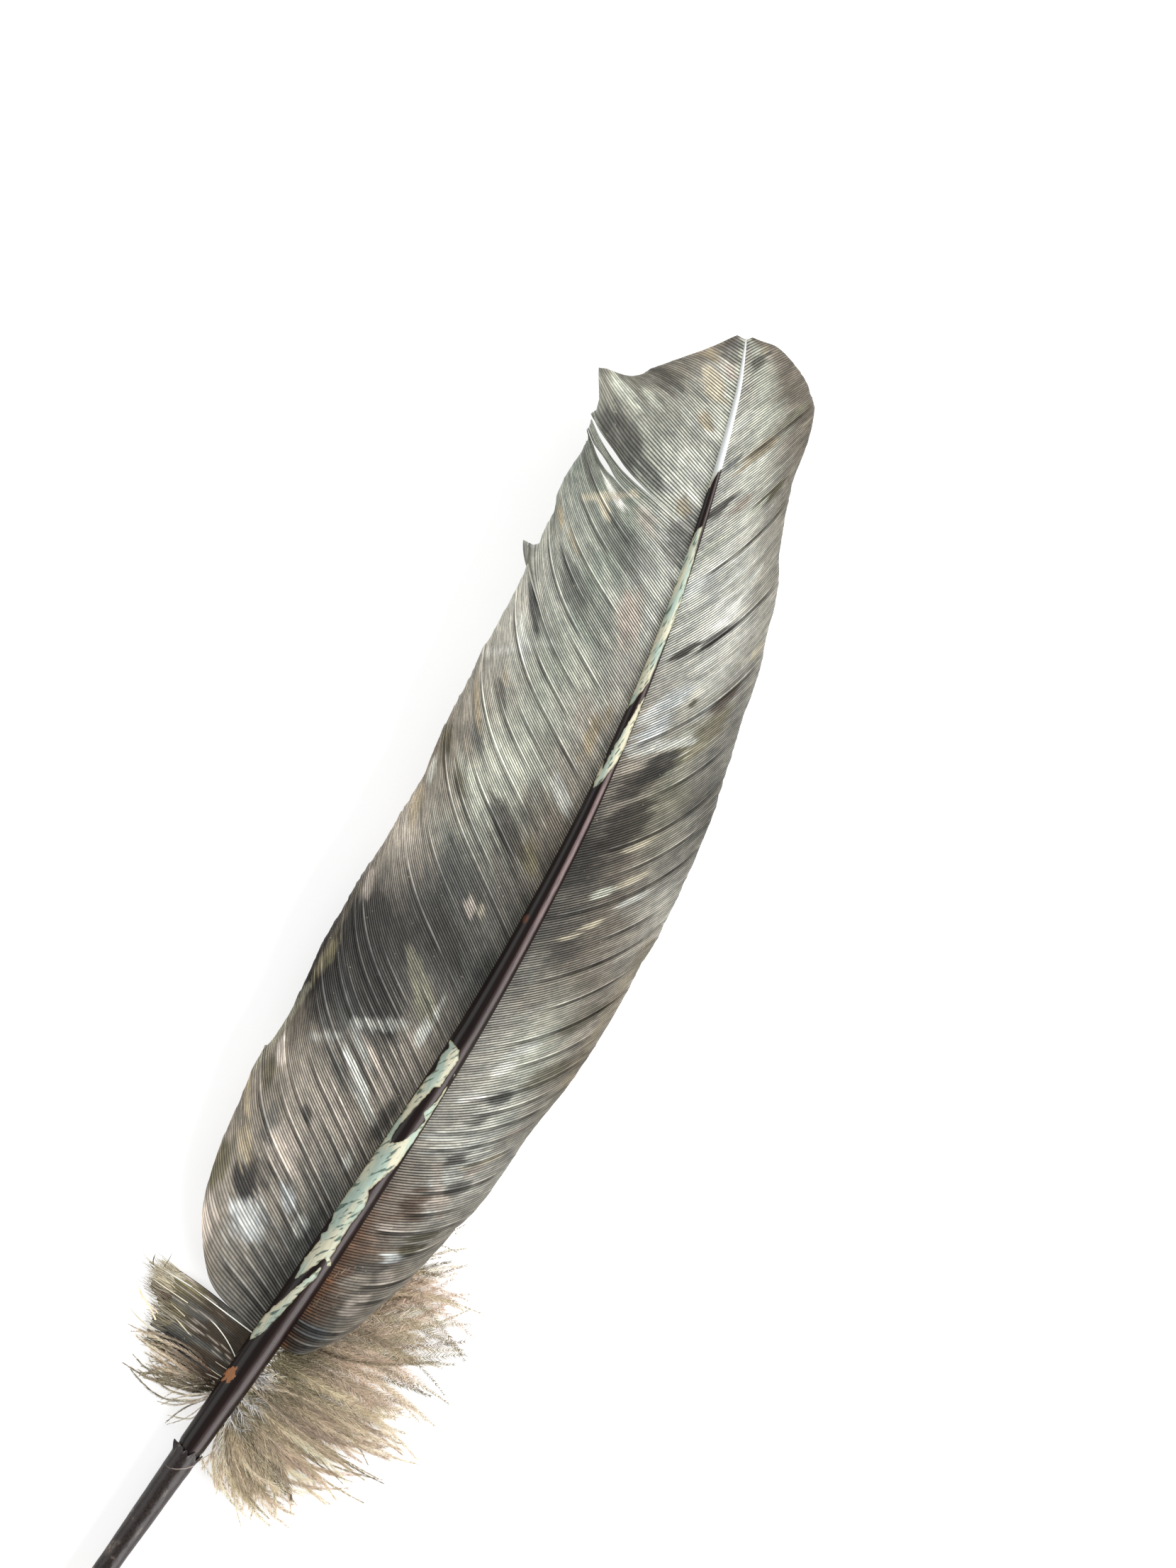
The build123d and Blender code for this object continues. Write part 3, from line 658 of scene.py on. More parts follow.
def marble(side, roots, x, y, travel):
    """The colour of every point of a vane, shaped like x with three more values."""
    share = travel / travel[:, -1:]
    stations = np.array([g[0] for g in GROUND[side]], float)
    shades = np.array([g[1:] for g in GROUND[side]])
    wander = x + 1.6 * grain(roots[:, None] / 1.3, travel / 9, 61) + 0.8 * grain(roots[:, None] / 0.55,
                                                                                 travel / 14, 62)
    outward = share + 0.08 * grain(roots[:, None] / 0.8, travel / 5, 63) + 0.05 * grain(roots[:, None] / 3,
                                                                                        travel / 6, 64)
    colour = np.zeros((*x.shape, 3))
    rows = len(ROW_SHARES)
    for row in range(rows):
        here = np.interp(outward, ROW_SHARES, np.eye(rows)[row])
        told = np.stack([np.interp(wander, stations, shades[:, row, c]) for c in range(3)], -1)
        colour += here[..., None] * told
    fray = 0.42 * grain(roots[:, None] / 0.6, travel / 7, 65) + 0.22 * grain(roots[:, None] / 2.2,
                                                                             travel / 3, 66)
    for shade, cx, cy, along, across, strength in SPOTS[side]:
        barb, step = np.unravel_index(np.argmin((x - cx) ** 2 + (y - cy) ** 2), x.shape)
        far = np.hypot((travel - travel[barb, step]) / along, (roots[:, None] - roots[barb]) / across)
        weight = strength * (1 - ease(far + fray, 0.6, 1.15))[..., None]
        colour = colour * (1 - weight) + shade * weight
    for shade, x0, y0, x1, y1, half, strength in BANDS[side]:
        reach = np.array([x1 - x0, y1 - y0])
        along = np.clip(((x - x0) * reach[0] + (y - y0) * reach[1]) / (reach @ reach), 0, 1)
        far = np.hypot(x - x0 - along * reach[0], y - y0 - along * reach[1]) / half
        weight = 0.85 * strength * (1 - ease(far + fray, 0.5, 1.3))[..., None]
        colour = colour * (1 - weight) + shade * weight
    streak = 1 + 0.20 * grain(roots[:, None] / 0.5, travel / 16, 67) + 0.16 * grain(roots[:, None] / 1.9,
                                                                                    travel / 12, 68)
    return np.clip(colour * streak[..., None], 0.01, 0.95)


# %% [markdown]
# Where two barbs have unzipped there is a hairline parting: the furrow is in deep shade and
# the next barb, standing proud of it, catches the light. Both are painted into the colour, as a
# painted shade in the furrow and a painted highlight on that barb. Most partings start at the shaft.

# %%
# (root, share of the barb where it starts, and where it ends)
PARTINGS = {
    LEFT: [(54.2, 0, 0.6), (56.9, 0, 0.42), (59.2, 0.02, 0.62), (61.6, 0, 0.35), (64.3, 0, 0.5),
           (66.9, 0.1, 0.55), (69.2, 0, 0.62), (71.2, 0.3, 0.95), (74.5, 0, 0.4), (76.6, 0, 0.75),
           (79.6, 0.2, 0.8), (82.3, 0, 0.45), (85.2, 0.05, 0.7), (87.6, 0, 0.5), (90.4, 0.25, 0.85),
           (92.4, 0, 0.95), (95.1, 0, 0.55), (97.2, 0.1, 0.9), (99.3, 0, 0.8), (101.5, 0.1, 0.6),
           (103.4, 0, 0.95), (106.2, 0, 0.97), (109.0, 0.3, 0.6), (113.4, 0, 0.35), (120.0, 0.3, 0.8),
           (127.0, 0.4, 0.75), (135.4, 0, 0.95), (138.4, 0.3, 0.8), (143.8, 0.2, 0.7),
           (150.9, 0.25, 0.9), (156.0, 0.4, 0.8), (160.5, 0.2, 0.6), (165.4, 0.1, 0.97),
           (169.5, 0.3, 0.7), (174.0, 0.3, 0.95), (179.0, 0.2, 0.55), (181.4, 0.45, 0.97),
           (186.5, 0.5, 0.85), (191.0, 0.3, 0.97),
           (197.5, 0.5, 0.9), (203.0, 0.4, 0.95)],
    RIGHT: [(53.0, 0, 0.8), (54.6, 0, 0.9), (56.4, 0, 0.8), (62.5, 0.5, 0.95), (66.0, 0.4, 0.97),
            (72.0, 0.5, 0.9), (77.0, 0.15, 0.97), (81.0, 0.3, 0.8), (85.0, 0.3, 0.97), (90.0, 0.5, 0.9),
            (94.0, 0.05, 0.97), (97.4, 0.1, 0.9), (100.5, 0.3, 0.8), (104.0, 0.2, 0.97),
            (109.5, 0.4, 0.9), (115.0, 0.2, 0.97), (121.0, 0.4, 0.9), (128.0, 0.2, 0.95),
            (134.0, 0.5, 0.9), (142.0, 0.1, 0.97), (148.0, 0.4, 0.9), (154.0, 0.2, 0.97),
            (163.0, 0.4, 0.9), (176.0, 0.1, 0.97), (190.0, 0.3, 0.97), (206.0, 0.2, 0.97),
            (226.0, 0.3, 0.97)]}


def part(side, roots, share, tint):
    """Paint shade into each parting's furrow and a highlight onto the barb beside it."""
    for root, start, end in PARTINGS[side]:
        i = int(np.argmin(np.abs(roots - root)))
        course = ease(share[i], start - 0.05, start + 0.05) * (1 - ease(share[i], end - 0.15, end + 0.02))
        course = course * (0.75 + 0.25 * grain(share[i] * 9, root, 74))
        # painted shade on the two barbs of the furrow, and a painted highlight on the barb beyond it
        tint[i - 1] *= 1 - 0.35 * course[:, None]
        tint[i] *= 1 - 0.82 * course[:, None]
        tint[i + 1] = tint[i + 1] * (1 + 0.35 * course[:, None]) + 0.06 * course[:, None]
    return tint


# %% [markdown]
# ## The vanes
#
# The barbs of a vane are laid side by side, each a strip with a raised ridge. Neighbours
# meet at the furrow between them, except at a split, where both strips end. The strips are
# shared out into one piece for each of the CAD's locks.

# %%
RIDGE = 0.11
LOCK_EDGES = {LEFT: [71.5, 92.5, 106.4, 135.5, 165.5, 191.0, 215.2, 999],
              RIGHT: [77.0, 94.0, 115.0, 142.0, 176.0, 206.0, 999]}
NAMES = {LEFT: "left", RIGHT: "right"}
PROFILE = np.array([-1.0, -0.55, 0.0, 0.55, 1.0])


def vane(side):
    roots, x, y = barb_lines(side)
    z = sheet_height(side, roots, x, y)
    line = np.stack([x, y, z], -1)
    travel = np.concatenate([np.zeros((len(roots), 1)),
                             np.cumsum(np.hypot(np.diff(x), np.diff(y)), axis=1)], axis=1)
    share = travel / travel[:, -1:]
    tint = part(side, roots, share, marble(side, roots, x, y, travel))

    gap = np.diff(line, axis=0)
    before = np.concatenate([gap[:1], gap]) / 2
    after = np.concatenate([gap, gap[-1:]]) / 2
    for root, *_ in SPLITS[side]:
        last = int(np.searchsorted(roots, root)) - 1
        usual = np.linalg.norm(gap[last - 3], axis=-1, keepdims=True)
        wide = np.linalg.norm(gap[last], axis=-1, keepdims=True)
        keep = np.minimum(1, usual / wide)
        after[last] = after[last] * keep
        before[last + 1] = before[last + 1] * keep

    tip = (1 - 0.06 * ease(share, 0.97, 1.0))[..., None]
    columns = [line + offset * tip * (after if offset > 0 else before) for offset in PROFILE]
    strips = np.stack(columns, axis=2)
    crest = (1 - np.abs(PROFILE) ** 1.6) * RIDGE
    strips[..., 2] += crest * ease(share, -0.1, 0.06)[..., None]

    # rib is how strong the painted furrow shade and ridge highlight are: strongest near the shaft, weaker
    # at the vane's edge and at its foot.
    near_shaft = 1 - ease(share, 0.25, 0.75)
    rib_shade_strength = 0.34 + 0.46 * near_shaft if side == LEFT else 0.42 + 0.42 * near_shaft
    rib_shade_strength = rib_shade_strength + 0.15 * grain(roots[:, None] / 6, travel / 6, 71)
    rib_shade_strength = rib_shade_strength * (1 - 0.5 * ease(share, 0.72, 0.95))
    foot = 1 - ease(roots, 62, 84)[:, None]
    rib_shade_strength = rib_shade_strength * (1 - 0.45 * foot * ease(share, 0.05, 0.3))
    for number, edge in enumerate(LOCK_EDGES[side], start=1):
        begin = -1 if number == 1 else LOCK_EDGES[side][number - 2]
        mine = (roots >= begin) & (roots < edge)
        values = {"tint": tint[mine][:, :, None, :], "across": PROFILE,
                  "rib": np.clip(rib_shade_strength[mine], 0, 1)[..., None],
                  "root": roots[mine][:, None, None], "travel": travel[mine][..., None]}
        piece = grid_mesh(f"{NAMES[side]}_vane_{number}", [(strips[mine], values)], BARBS)
        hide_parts(f"{NAMES[side]}_lock_{number}")
    print(NAMES[side], "vane done:", len(roots), "barbs")


vane(LEFT)
vane(RIGHT)

# %% [markdown]
# ## The lacquered shaft
#
# The shaft was dipped in a brown-black lacquer that has flaked away in long tongues, down to
# fibrous horn: cream, mint and a blue-green stain. The skin is one dense tube, so that the
# flakes' edges are crisp. For each point `flake` is how far inside a flake it lies, in
# millimetres, and the horn sits a little lower than the lacquer.

# %%
FLAKES_AND_GLINT = [
    [(48.8, 2.4), (50.4, 2.95), (54.2, 2.85), (58.6, 1.8), (62.8, 0.75), (67.8, -0.7), (65.2, -0.9),
     (60.7, -0.1),
     (56.5, 0.35), (51.8, 1.15)],
    [(62.6, 2.1), (66.7, 2.8), (71.3, 2.5), (72.3, 2.95), (73.4, 2.3), (77.8, 3.4), (89.9, 3.4),
     (106.7, 3.6), (108.3, 3.0), (111.7, 3.75), (113.2, 3.3), (114.6, 4.1), (114.1, 1.5), (112.5, 0.6),
     (106.6, 0.5), (105.7, 1.4), (100.4, 2.15), (95.2, 2.7), (93.0, 2.15), (94.6, 0.45), (97.5, -0.5),
     (99.9, -0.85), (101.0, 0.15), (103.8, -0.4), (109.9, -0.4), (104.4, -0.95), (92.5, -1.4),
     (89.9, -1.25), (83.8, 0.25), (81.0, -0.8), (76.3, -0.55),
     (69.7, -0.95), (68.5, -2.2), (68.1, -1.4), (69.2, -0.25), (66.5, 0.65)],
    [(167.1, 9.1), (169.7, 10.05), (173.3, 10.6), (171.0, 9.7), (175.6, 10.2), (184.2, 10.9),
     (186.1, 10.75),
     (181.7, 9.8), (176.7, 8.65), (173.9, 8.15), (168.1, 8.5)],
    [(182.2, 12.35), (191.7, 14.5), (200.0, 16.5), (211.0, 19.8), (216.0, 20.6), (217.5, 20.1),
     (210.0, 17.4),
     (201.0, 14.5), (188.6, 11.7), (183.5, 12.05)],
    [(222.2, 23.0), (226.0, 24.6), (250.0, 35.0), (250.0, 31.0), (229.0, 22.9), (226.5, 23.4)],
    # the last, small patch at the barrel's rim is a painted glint in the horn's pale colour
    [(25.7, -0.35), (26.0, 0.45), (26.9, 0.5), (27.2, 0.0), (26.6, -0.4)]]
FLAKE_DEPTH = 0.07
AROUND = 72
SHAFT_START = 27.4


def inside(outline, x, y):
    """Distance from each point to the outline: positive inside it, negative outside."""
    nearest = np.full(x.shape, 1e9)
    crossings = np.zeros(x.shape, int)
    for (x0, y0), (x1, y1) in zip(outline, outline[1:] + outline[:1]):
        dx, dy = x1 - x0, y1 - y0
        t = np.clip(((x - x0) * dx + (y - y0) * dy) / (dx * dx + dy * dy), 0, 1)
        nearest = np.minimum(nearest, np.hypot(x - x0 - t * dx, y - y0 - t * dy))
        straddles = (y0 > y) != (y1 > y)
        crossings += straddles & (x < x0 + (y - y0) * dx / (dy if dy else 1e-9))
    return np.where(crossings % 2 == 1, nearest, -nearest)


def shaft_skin():
    turn = np.linspace(0, 2 * math.pi, AROUND + 1)
    along = np.arange(SHAFT_START, 249.8, 0.22)
    half = smooth(SHAFT_WIDTH, along) / 2
    wide, tall = half / np.cos(shaft_slope(along)), half * SHAFT_FLATNESS
    centre_y, centre_z = smooth(LINE_Y, along), smooth(LINE_Z, along)
    # the hollow, from its blind end back to the cut end, then out and up to the shoulder
    bore = [(42, 0), (38, 1.8), (27.4, 1.8), (23, 1.15), (-6, 1.15), (-6, 1.45), (23, 1.45), (25.5, 2.15)]
    bx, br = np.array(bore, float).T
    along = np.concatenate([bx, along, [249.9]])
    wide, tall = (np.concatenate([br, v, [0.0]]) for v in (wide, tall))
    centre_y = np.concatenate([np.zeros(len(bx)), centre_y, centre_y[-1:]])
    centre_z = np.concatenate([np.full(len(bx), AXIS_Z), centre_z, centre_z[-1:]])
    x = np.repeat(along[:, None], AROUND + 1, 1)
    y = centre_y[:, None] + wide[:, None] * np.cos(turn)
    z = centre_z[:, None] + tall[:, None] * np.sin(turn)
    below = np.clip(-np.sin(turn), 0, 1) * tall[:, None]
    ragged = 0.10 * grain(x / 0.5, turn * 2, 81) + 0.07 * grain(x / 2.2, turn * 6, 82)
    flake = np.max([inside(f, x, y) for f in FLAKES_AND_GLINT], axis=0) - below * 1.1 + ragged
    flake = np.where(x > 228, 1.0, flake)
    sunk = 1 - FLAKE_DEPTH * ease(flake, -0.06, 0.06) / np.maximum(half.min(), wide[:, None] + 0.01)
    y = centre_y[:, None] + (y - centre_y[:, None]) * sunk
    z = centre_z[:, None] + (z - centre_z[:, None]) * sunk
    points = np.stack([x, y, z], -1)[None]
    middle = (y - centre_y[:, None]) / np.maximum(wide[:, None], 0.05)
    values = {"flake": flake, "along": x, "across": middle, "top": np.sin(turn)}
    return grid_mesh("shaft_skin", [(points, values)], SHAFT)


# %% [markdown]
# The horn is built up from fibres: noise stretched forty to one along the shaft gives the
# strokes, slower noise gives the stained patches, and a thin ochre edge stands where the
# lacquer has bled. The lacquer is nearly black, smooth, with fine scratches that catch light,
# and it carries a painted highlight: a pale mauve band along the flank that faces the window
# light, faint all along and strongest between 158 and 168 mm.

# %%
def lacquer_colours(t, scratches):
    base = t.mix(t.noise(t.place((60, 300, 300)), 1.0, 3, 0.6), looks(16, 9, 9), looks(34, 22, 20))
    return t.mix(t.sum("MULTIPLY", scratches, 0.10), base, looks(120, 104, 98))


def shaft_material():
    t = Tree("flaked_lacquer")
    flake, along, across = t.attribute("flake"), t.attribute("along"), t.attribute("across")
    fibre_place = t.node("ShaderNodeCombineXYZ", i0=t.sum("MULTIPLY", along, 0.16),
                         i1=t.sum("MULTIPLY", across, 7.0)).outputs[0]
    leaning = t.node("ShaderNodeCombineXYZ", i0=t.sum("MULTIPLY", along, 0.30),
                     i1=t.sum("MULTIPLY_ADD", along, 0.45)).outputs[0]
    lean = leaning.node.inputs[1].links[0].from_node
    t.join(lean.inputs[2], t.sum("MULTIPLY", across, 2.6))
    fibres = t.noise(fibre_place, 1.6, 5, 0.65)
    strokes = t.noise(leaning, 1.3, 3, 0.5)
    patches = t.noise(t.node("ShaderNodeCombineXYZ", i0=t.sum("MULTIPLY", along, 0.12),
                             i1=across).outputs[0], 1.0, 2, 0.5)
    mint = t.mix(t.step(patches, 0.40, 0.58), looks(184, 204, 190), looks(226, 222, 196))
    stained = t.mix(t.step(strokes, 0.54, 0.64), mint, looks(96, 118, 108))
    horn = t.mix(t.sum("MULTIPLY", t.step(fibres, 0.45, 0.72), 0.45), stained, looks(136, 140, 120))
    tip = t.step(along, 222.0, 230.0)
    horn = t.mix(tip, horn, looks(236, 240, 240))
    torn = t.sum("ADD", flake, t.sum("MULTIPLY", t.sum("SUBTRACT", fibres, 0.5), 0.35))
    mask = t.step(torn, -0.02, 0.05)
    ochre = t.sum("MULTIPLY", t.step(torn, 0.30, 0.02), mask)
    scratches = t.step(t.noise(fibre_place, 9.0, 4, 0.7), 0.60, 0.78)
    worn = t.mix(t.sum("MULTIPLY", ochre, 0.55), horn, looks(150, 132, 84))
    # Painted highlight: a pale mauve band on the lacquer's flank towards the window light, faint all along,
    # strongest between 158 and 168 mm and broken up by the fibres.
    shoulder = t.sum("MULTIPLY", t.step(across, -0.10, -0.36), t.step(across, -0.86, -0.62))
    highlight_stretch = t.sum("MULTIPLY", t.step(along, 118.0, 158.0), t.step(along, 176.0, 168.0))
    painted_flank_highlight = t.sum("MULTIPLY", shoulder, t.sum("ADD", t.sum("MULTIPLY", highlight_stretch, 0.62), 0.16))
    painted_flank_highlight = t.sum("MULTIPLY", painted_flank_highlight, t.step(fibres, 0.25, 0.6))
    lacquer = t.mix(painted_flank_highlight, lacquer_colours(t, scratches), looks(146, 122, 120))
    colour = t.mix(mask, lacquer, worn)
    scar_far = t.node("ShaderNodeVectorMath", {"operation": "LENGTH"}, i0=t.node(
        "ShaderNodeCombineXYZ", i0=t.sum("MULTIPLY", t.sum("SUBTRACT", along, 42.0), 0.65),
        i1=t.sum("MULTIPLY", t.sum("SUBTRACT", across, 0.62), 3.0)).outputs[0]).outputs["Value"]
    scar_edge = t.sum("ADD", scar_far, t.sum("MULTIPLY",
                                             t.sum("SUBTRACT", t.noise(t.place(), 900, 4, 0.6), 0.5), 2.4))
    scar = t.sum("MULTIPLY", t.step(scar_edge, 1.15, 0.95), t.step(t.attribute("top"), 0.0, 0.2))
    amber = t.mix(fibres, looks(120, 66, 38), looks(208, 148, 100))
    colour = t.mix(scar, colour, amber)
    rust_far = t.node("ShaderNodeVectorMath", {"operation": "LENGTH"}, i0=t.node(
        "ShaderNodeCombineXYZ", i0=t.sum("MULTIPLY", t.sum("SUBTRACT", along, 140.5), 0.8),
        i1=t.sum("MULTIPLY", t.sum("SUBTRACT", across, 0.6), 3.0)).outputs[0]).outputs["Value"]
    rust = t.sum("MULTIPLY", t.step(t.sum("ADD", rust_far, t.sum("MULTIPLY", fibres, 0.8)), 1.3, 0.9), 0.6)
    colour = t.mix(rust, colour, looks(116, 66, 44))
    dull = t.node("ShaderNodeMix", {"data_type": "FLOAT"}, i0=t.sum("MAXIMUM", mask, scar), i2=0.27,
                  i3=0.62).outputs[0]
    roughness = t.sum("ADD", dull, t.sum("MULTIPLY", scratches, 0.2))
    t.bump(t.sum("MULTIPLY", t.sum("ADD", fibres, t.sum("MULTIPLY", scratches, 0.4)),
                 t.sum("ADD", mask, 0.12)), 0.00008, 0.5)
    return t.finish(colour, roughness, Specular_IOR_Level=0.32)


SHAFT = shaft_material()
skin = shaft_skin()
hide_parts("quill_shaft")
print("shaft skin:", len(skin.data.polygons), "faces")

# %% [markdown]
# ## The barrel and its torn rim
#
# The barrel is a dipped sleeve. Its upper rim has split: one tooth stands out on the left,
# the rest is bitten away, and a pale crack runs round it. The sleeve is turned as one closed
# profile, outside and bore, and its rim is pushed about by listed teeth.

# %%
TEETH = [(14, 16, 1.0, 0.3), (40, 9, 0.25, 0.35), (75, 10, 0.3, -0.6), (100, 14, 0.1, -0.9),
         (120, 8, 0.05, 0.5), (150, 14, 0.15, -1.0), (176, 14, 0.4, 0.55), (-150, 14, 0.1, 0.4),
         (-110, 20, 0.2, -0.6), (-60, 12, 0.15, 0.4),
         (-25, 10, 0.1, -0.3)]
RIM_X = 26.2


def barrel_skin():
    degrees = np.linspace(-180, 180, 145)
    turn = np.radians(degrees)
    outside = np.concatenate([[-18.0, -17.7], np.arange(-17.4, 22, 0.3), np.arange(22, RIM_X, 0.12),
                              [RIM_X]])
    radius = np.interp(outside, [-18, -17.7, 3, 23, 27], [1.95, 2.1, 2.1, 2.5, 2.5])
    along = np.concatenate([outside, [RIM_X, 25.4, 23, 22.5, -18, -18.0]])
    radius = np.concatenate([radius, [2.36, 2.2, 1.75, 1.62, 1.62, 1.95]])
    x = np.repeat(along[:, None], len(turn), 1)
    r = np.repeat(radius[:, None], len(turn), 1)
    near_rim = ease(x, RIM_X - 1.9, RIM_X)
    for place, width, flare, reach in TEETH:
        away = (degrees - place + 180) % 360 - 180
        tooth = np.clip(1 - np.abs(away) / width, 0, 1)
        r = r + flare * tooth * near_rim
        x = x + reach * tooth * near_rim
    lumps = 0.035 * grain(x / 2.5, degrees / 30, 91) + 0.02 * grain(x / 0.8, degrees / 12, 92)
    r = r + np.where(np.arange(len(along)) < len(outside), 1, 0)[:, None] * lumps
    y, z = r * np.cos(turn), AXIS_Z + r * np.sin(turn)
    scuff = np.zeros_like(x)
    for cx, cy, length, width, strength in [(3.6, 1.4, 1.6, 0.6, 1), (5.2, 0.9, 0.5, 0.6, 0.6),
                                            (2.4, 0.0, 0.3, 0.4, 0.8), (11.4, 2.05, 0.5, 0.12, 1),
                                            (10.4, 1.1, 0.3, 0.4, 0.5), (8.9, -1.2, 1.2, 0.2, 0.8),
                                            (17.6, -1.1, 1.0, 0.3, 0.7), (21.0, -0.8, 0.8, 0.1, 0.4),
                                            (26.0, 1.9, 0.2, 0.5, 0.9)]:
        far = np.hypot((x - cx) / length, (y - cy) / width)
        scuff = np.maximum(scuff, strength * (1 - ease(far, 0.5, 1.3)))
    crack = np.full_like(x, 9.0)
    course = [(21.75, 2.1), (21.65, 0.9), (22.2, -0.2), (23.2, -1.5), (24.3, -2.4)]
    for (x0, y0), (x1, y1) in zip(course, course[1:]):
        t = np.clip(((x - x0) * (x1 - x0) + (y - y0) * (y1 - y0)) / ((x1 - x0) ** 2 + (y1 - y0) ** 2), 0, 1)
        crack = np.minimum(crack, np.hypot(x - x0 - t * (x1 - x0), y - y0 - t * (y1 - y0)))
    upper = z > AXIS_Z
    values = {"along": x, "around": degrees[None, :] / 360, "scuff": scuff * upper,
              "crack": np.where(upper, crack, 9.0),
              "bare": 1 - ease(x + 0.25 * y, -2.6, 0.9)}
    return grid_mesh("barrel_skin", [(np.stack([x, y, z], -1)[None], values)], BARREL)


def barrel_material():
    t = Tree("scuffed_lacquer")
    grain_place = t.node("ShaderNodeCombineXYZ", i0=t.sum("MULTIPLY", t.attribute("along"), 0.5),
                         i1=t.sum("MULTIPLY", t.attribute("around"), 24.0)).outputs[0]
    leaning = t.node("ShaderNodeMapping", Vector=grain_place)
    leaning.inputs["Rotation"].default_value = (0, 0, 0.7)
    leaning.inputs["Scale"].default_value = (1.2, 5.0, 1.0)
    marks = t.noise(leaning.outputs[0], 2.0, 5, 0.7)
    fine = t.noise(t.place(), 3200, 4, 0.6)
    mottled = t.mix(t.step(fine, 0.35, 0.7), looks(26, 19, 17), looks(54, 42, 38))
    scuffed = t.sum("MULTIPLY", t.attribute("scuff"), t.step(marks, 0.46, 0.62))
    colour = t.mix(scuffed, mottled, looks(168, 152, 136))
    crack = t.step(t.sum("ADD", t.attribute("crack"),
                         t.sum("MULTIPLY", t.sum("SUBTRACT", fine, 0.5), 0.15)), 0.17, 0.06)
    colour = t.mix(t.sum("MULTIPLY", crack, 0.8), colour, looks(150, 136, 128))
    bare = t.step(t.sum("ADD", t.attribute("bare"), t.sum("MULTIPLY", t.sum("SUBTRACT", marks, 0.5), 1.6)),
                  0.48, 0.56)
    tan = t.mix(marks, looks(120, 96, 74), looks(190, 160, 128))
    colour = t.mix(t.sum("MULTIPLY", bare, 0.8), colour, tan)
    roughness = t.sum("ADD", t.sum("MULTIPLY", fine, 0.25), t.sum("MULTIPLY_ADD", scuffed, 0.3))
    roughness.node.inputs[1].links[0].from_node.inputs[2].default_value = 0.26
    t.bump(t.sum("SUBTRACT", t.sum("MULTIPLY", fine, 0.5), crack), 0.00012, 0.5)
    return t.finish(colour, roughness, Specular_IOR_Level=0.5)


BARREL = barrel_material()
sleeve = barrel_skin()
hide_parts("barrel")
print("barrel:", len(sleeve.data.polygons), "faces")

# %% [markdown]
# ## Ribbons
#
# Loose barbs, downy barbs and their barbules are all flat strips about a line. `ribbons`
# makes many at once; a roll tips a strip about its own line, so that a cloud of down has
# depth from every side.

# %%
def ribbons(lines, half, roll=0.0, columns=2):
    """Strips about centre lines shaped (strips, steps, 3), each half wide on both sides."""
    ahead = np.gradient(lines, axis=1)
    ahead /= np.linalg.norm(ahead, axis=-1, keepdims=True) + 1e-9
    side = np.stack([-ahead[..., 1], ahead[..., 0], np.zeros(ahead.shape[:2])], -1)
    side /= np.linalg.norm(side, axis=-1, keepdims=True) + 1e-9
    up = np.cross(ahead, side)
    roll = np.broadcast_to(roll, lines.shape[:2])[..., None]
    reach = (side * np.cos(roll) + up * np.sin(roll)) * np.broadcast_to(half, lines.shape[:2])[..., None]
    return np.stack([lines + reach * s for s in np.linspace(-1, 1, columns)], axis=2)


def curve(root, tip, bow, steps, lift=0.0):
    """Arcs from roots to tips, bowed sideways by bow times their length."""
    t = np.linspace(0, 1, steps)[None, :, None]
    root, tip = np.asarray(root, float)[:, None], np.asarray(tip, float)[:, None]
    reach = tip - root
    sideways = np.concatenate([-reach[..., 1:2], reach[..., 0:1], 0 * reach[..., :1]], -1)
    line = root + reach * t + sideways * np.asarray(bow, float)[:, None, None] * 4 * t * (1 - t)
    line[..., 2] += (np.asarray(lift) * np.ones(len(root)))[:, None] * (4 * t * (1 - t))[..., 0]
    return line


# %% [markdown]
# ## Down
#
# A downy barb is a hair with two rows of long, loose barbules. The cloud on the right is
# built tuft by tuft. Each tuft is told as where it ends, where it grows from, how many barbs
# it has, how long and how splayed its barbules are, and its colour at the root and the end.

# %%
SAND = looks(226, 206, 180)
STRAW = looks(206, 192, 162)
KHAKI = looks(172, 158, 130)
MOSS = looks(122, 114, 88)
ROSE = looks(226, 202, 180)
FUZZ = looks(216, 212, 206)
UMBER = looks(78, 66, 52)

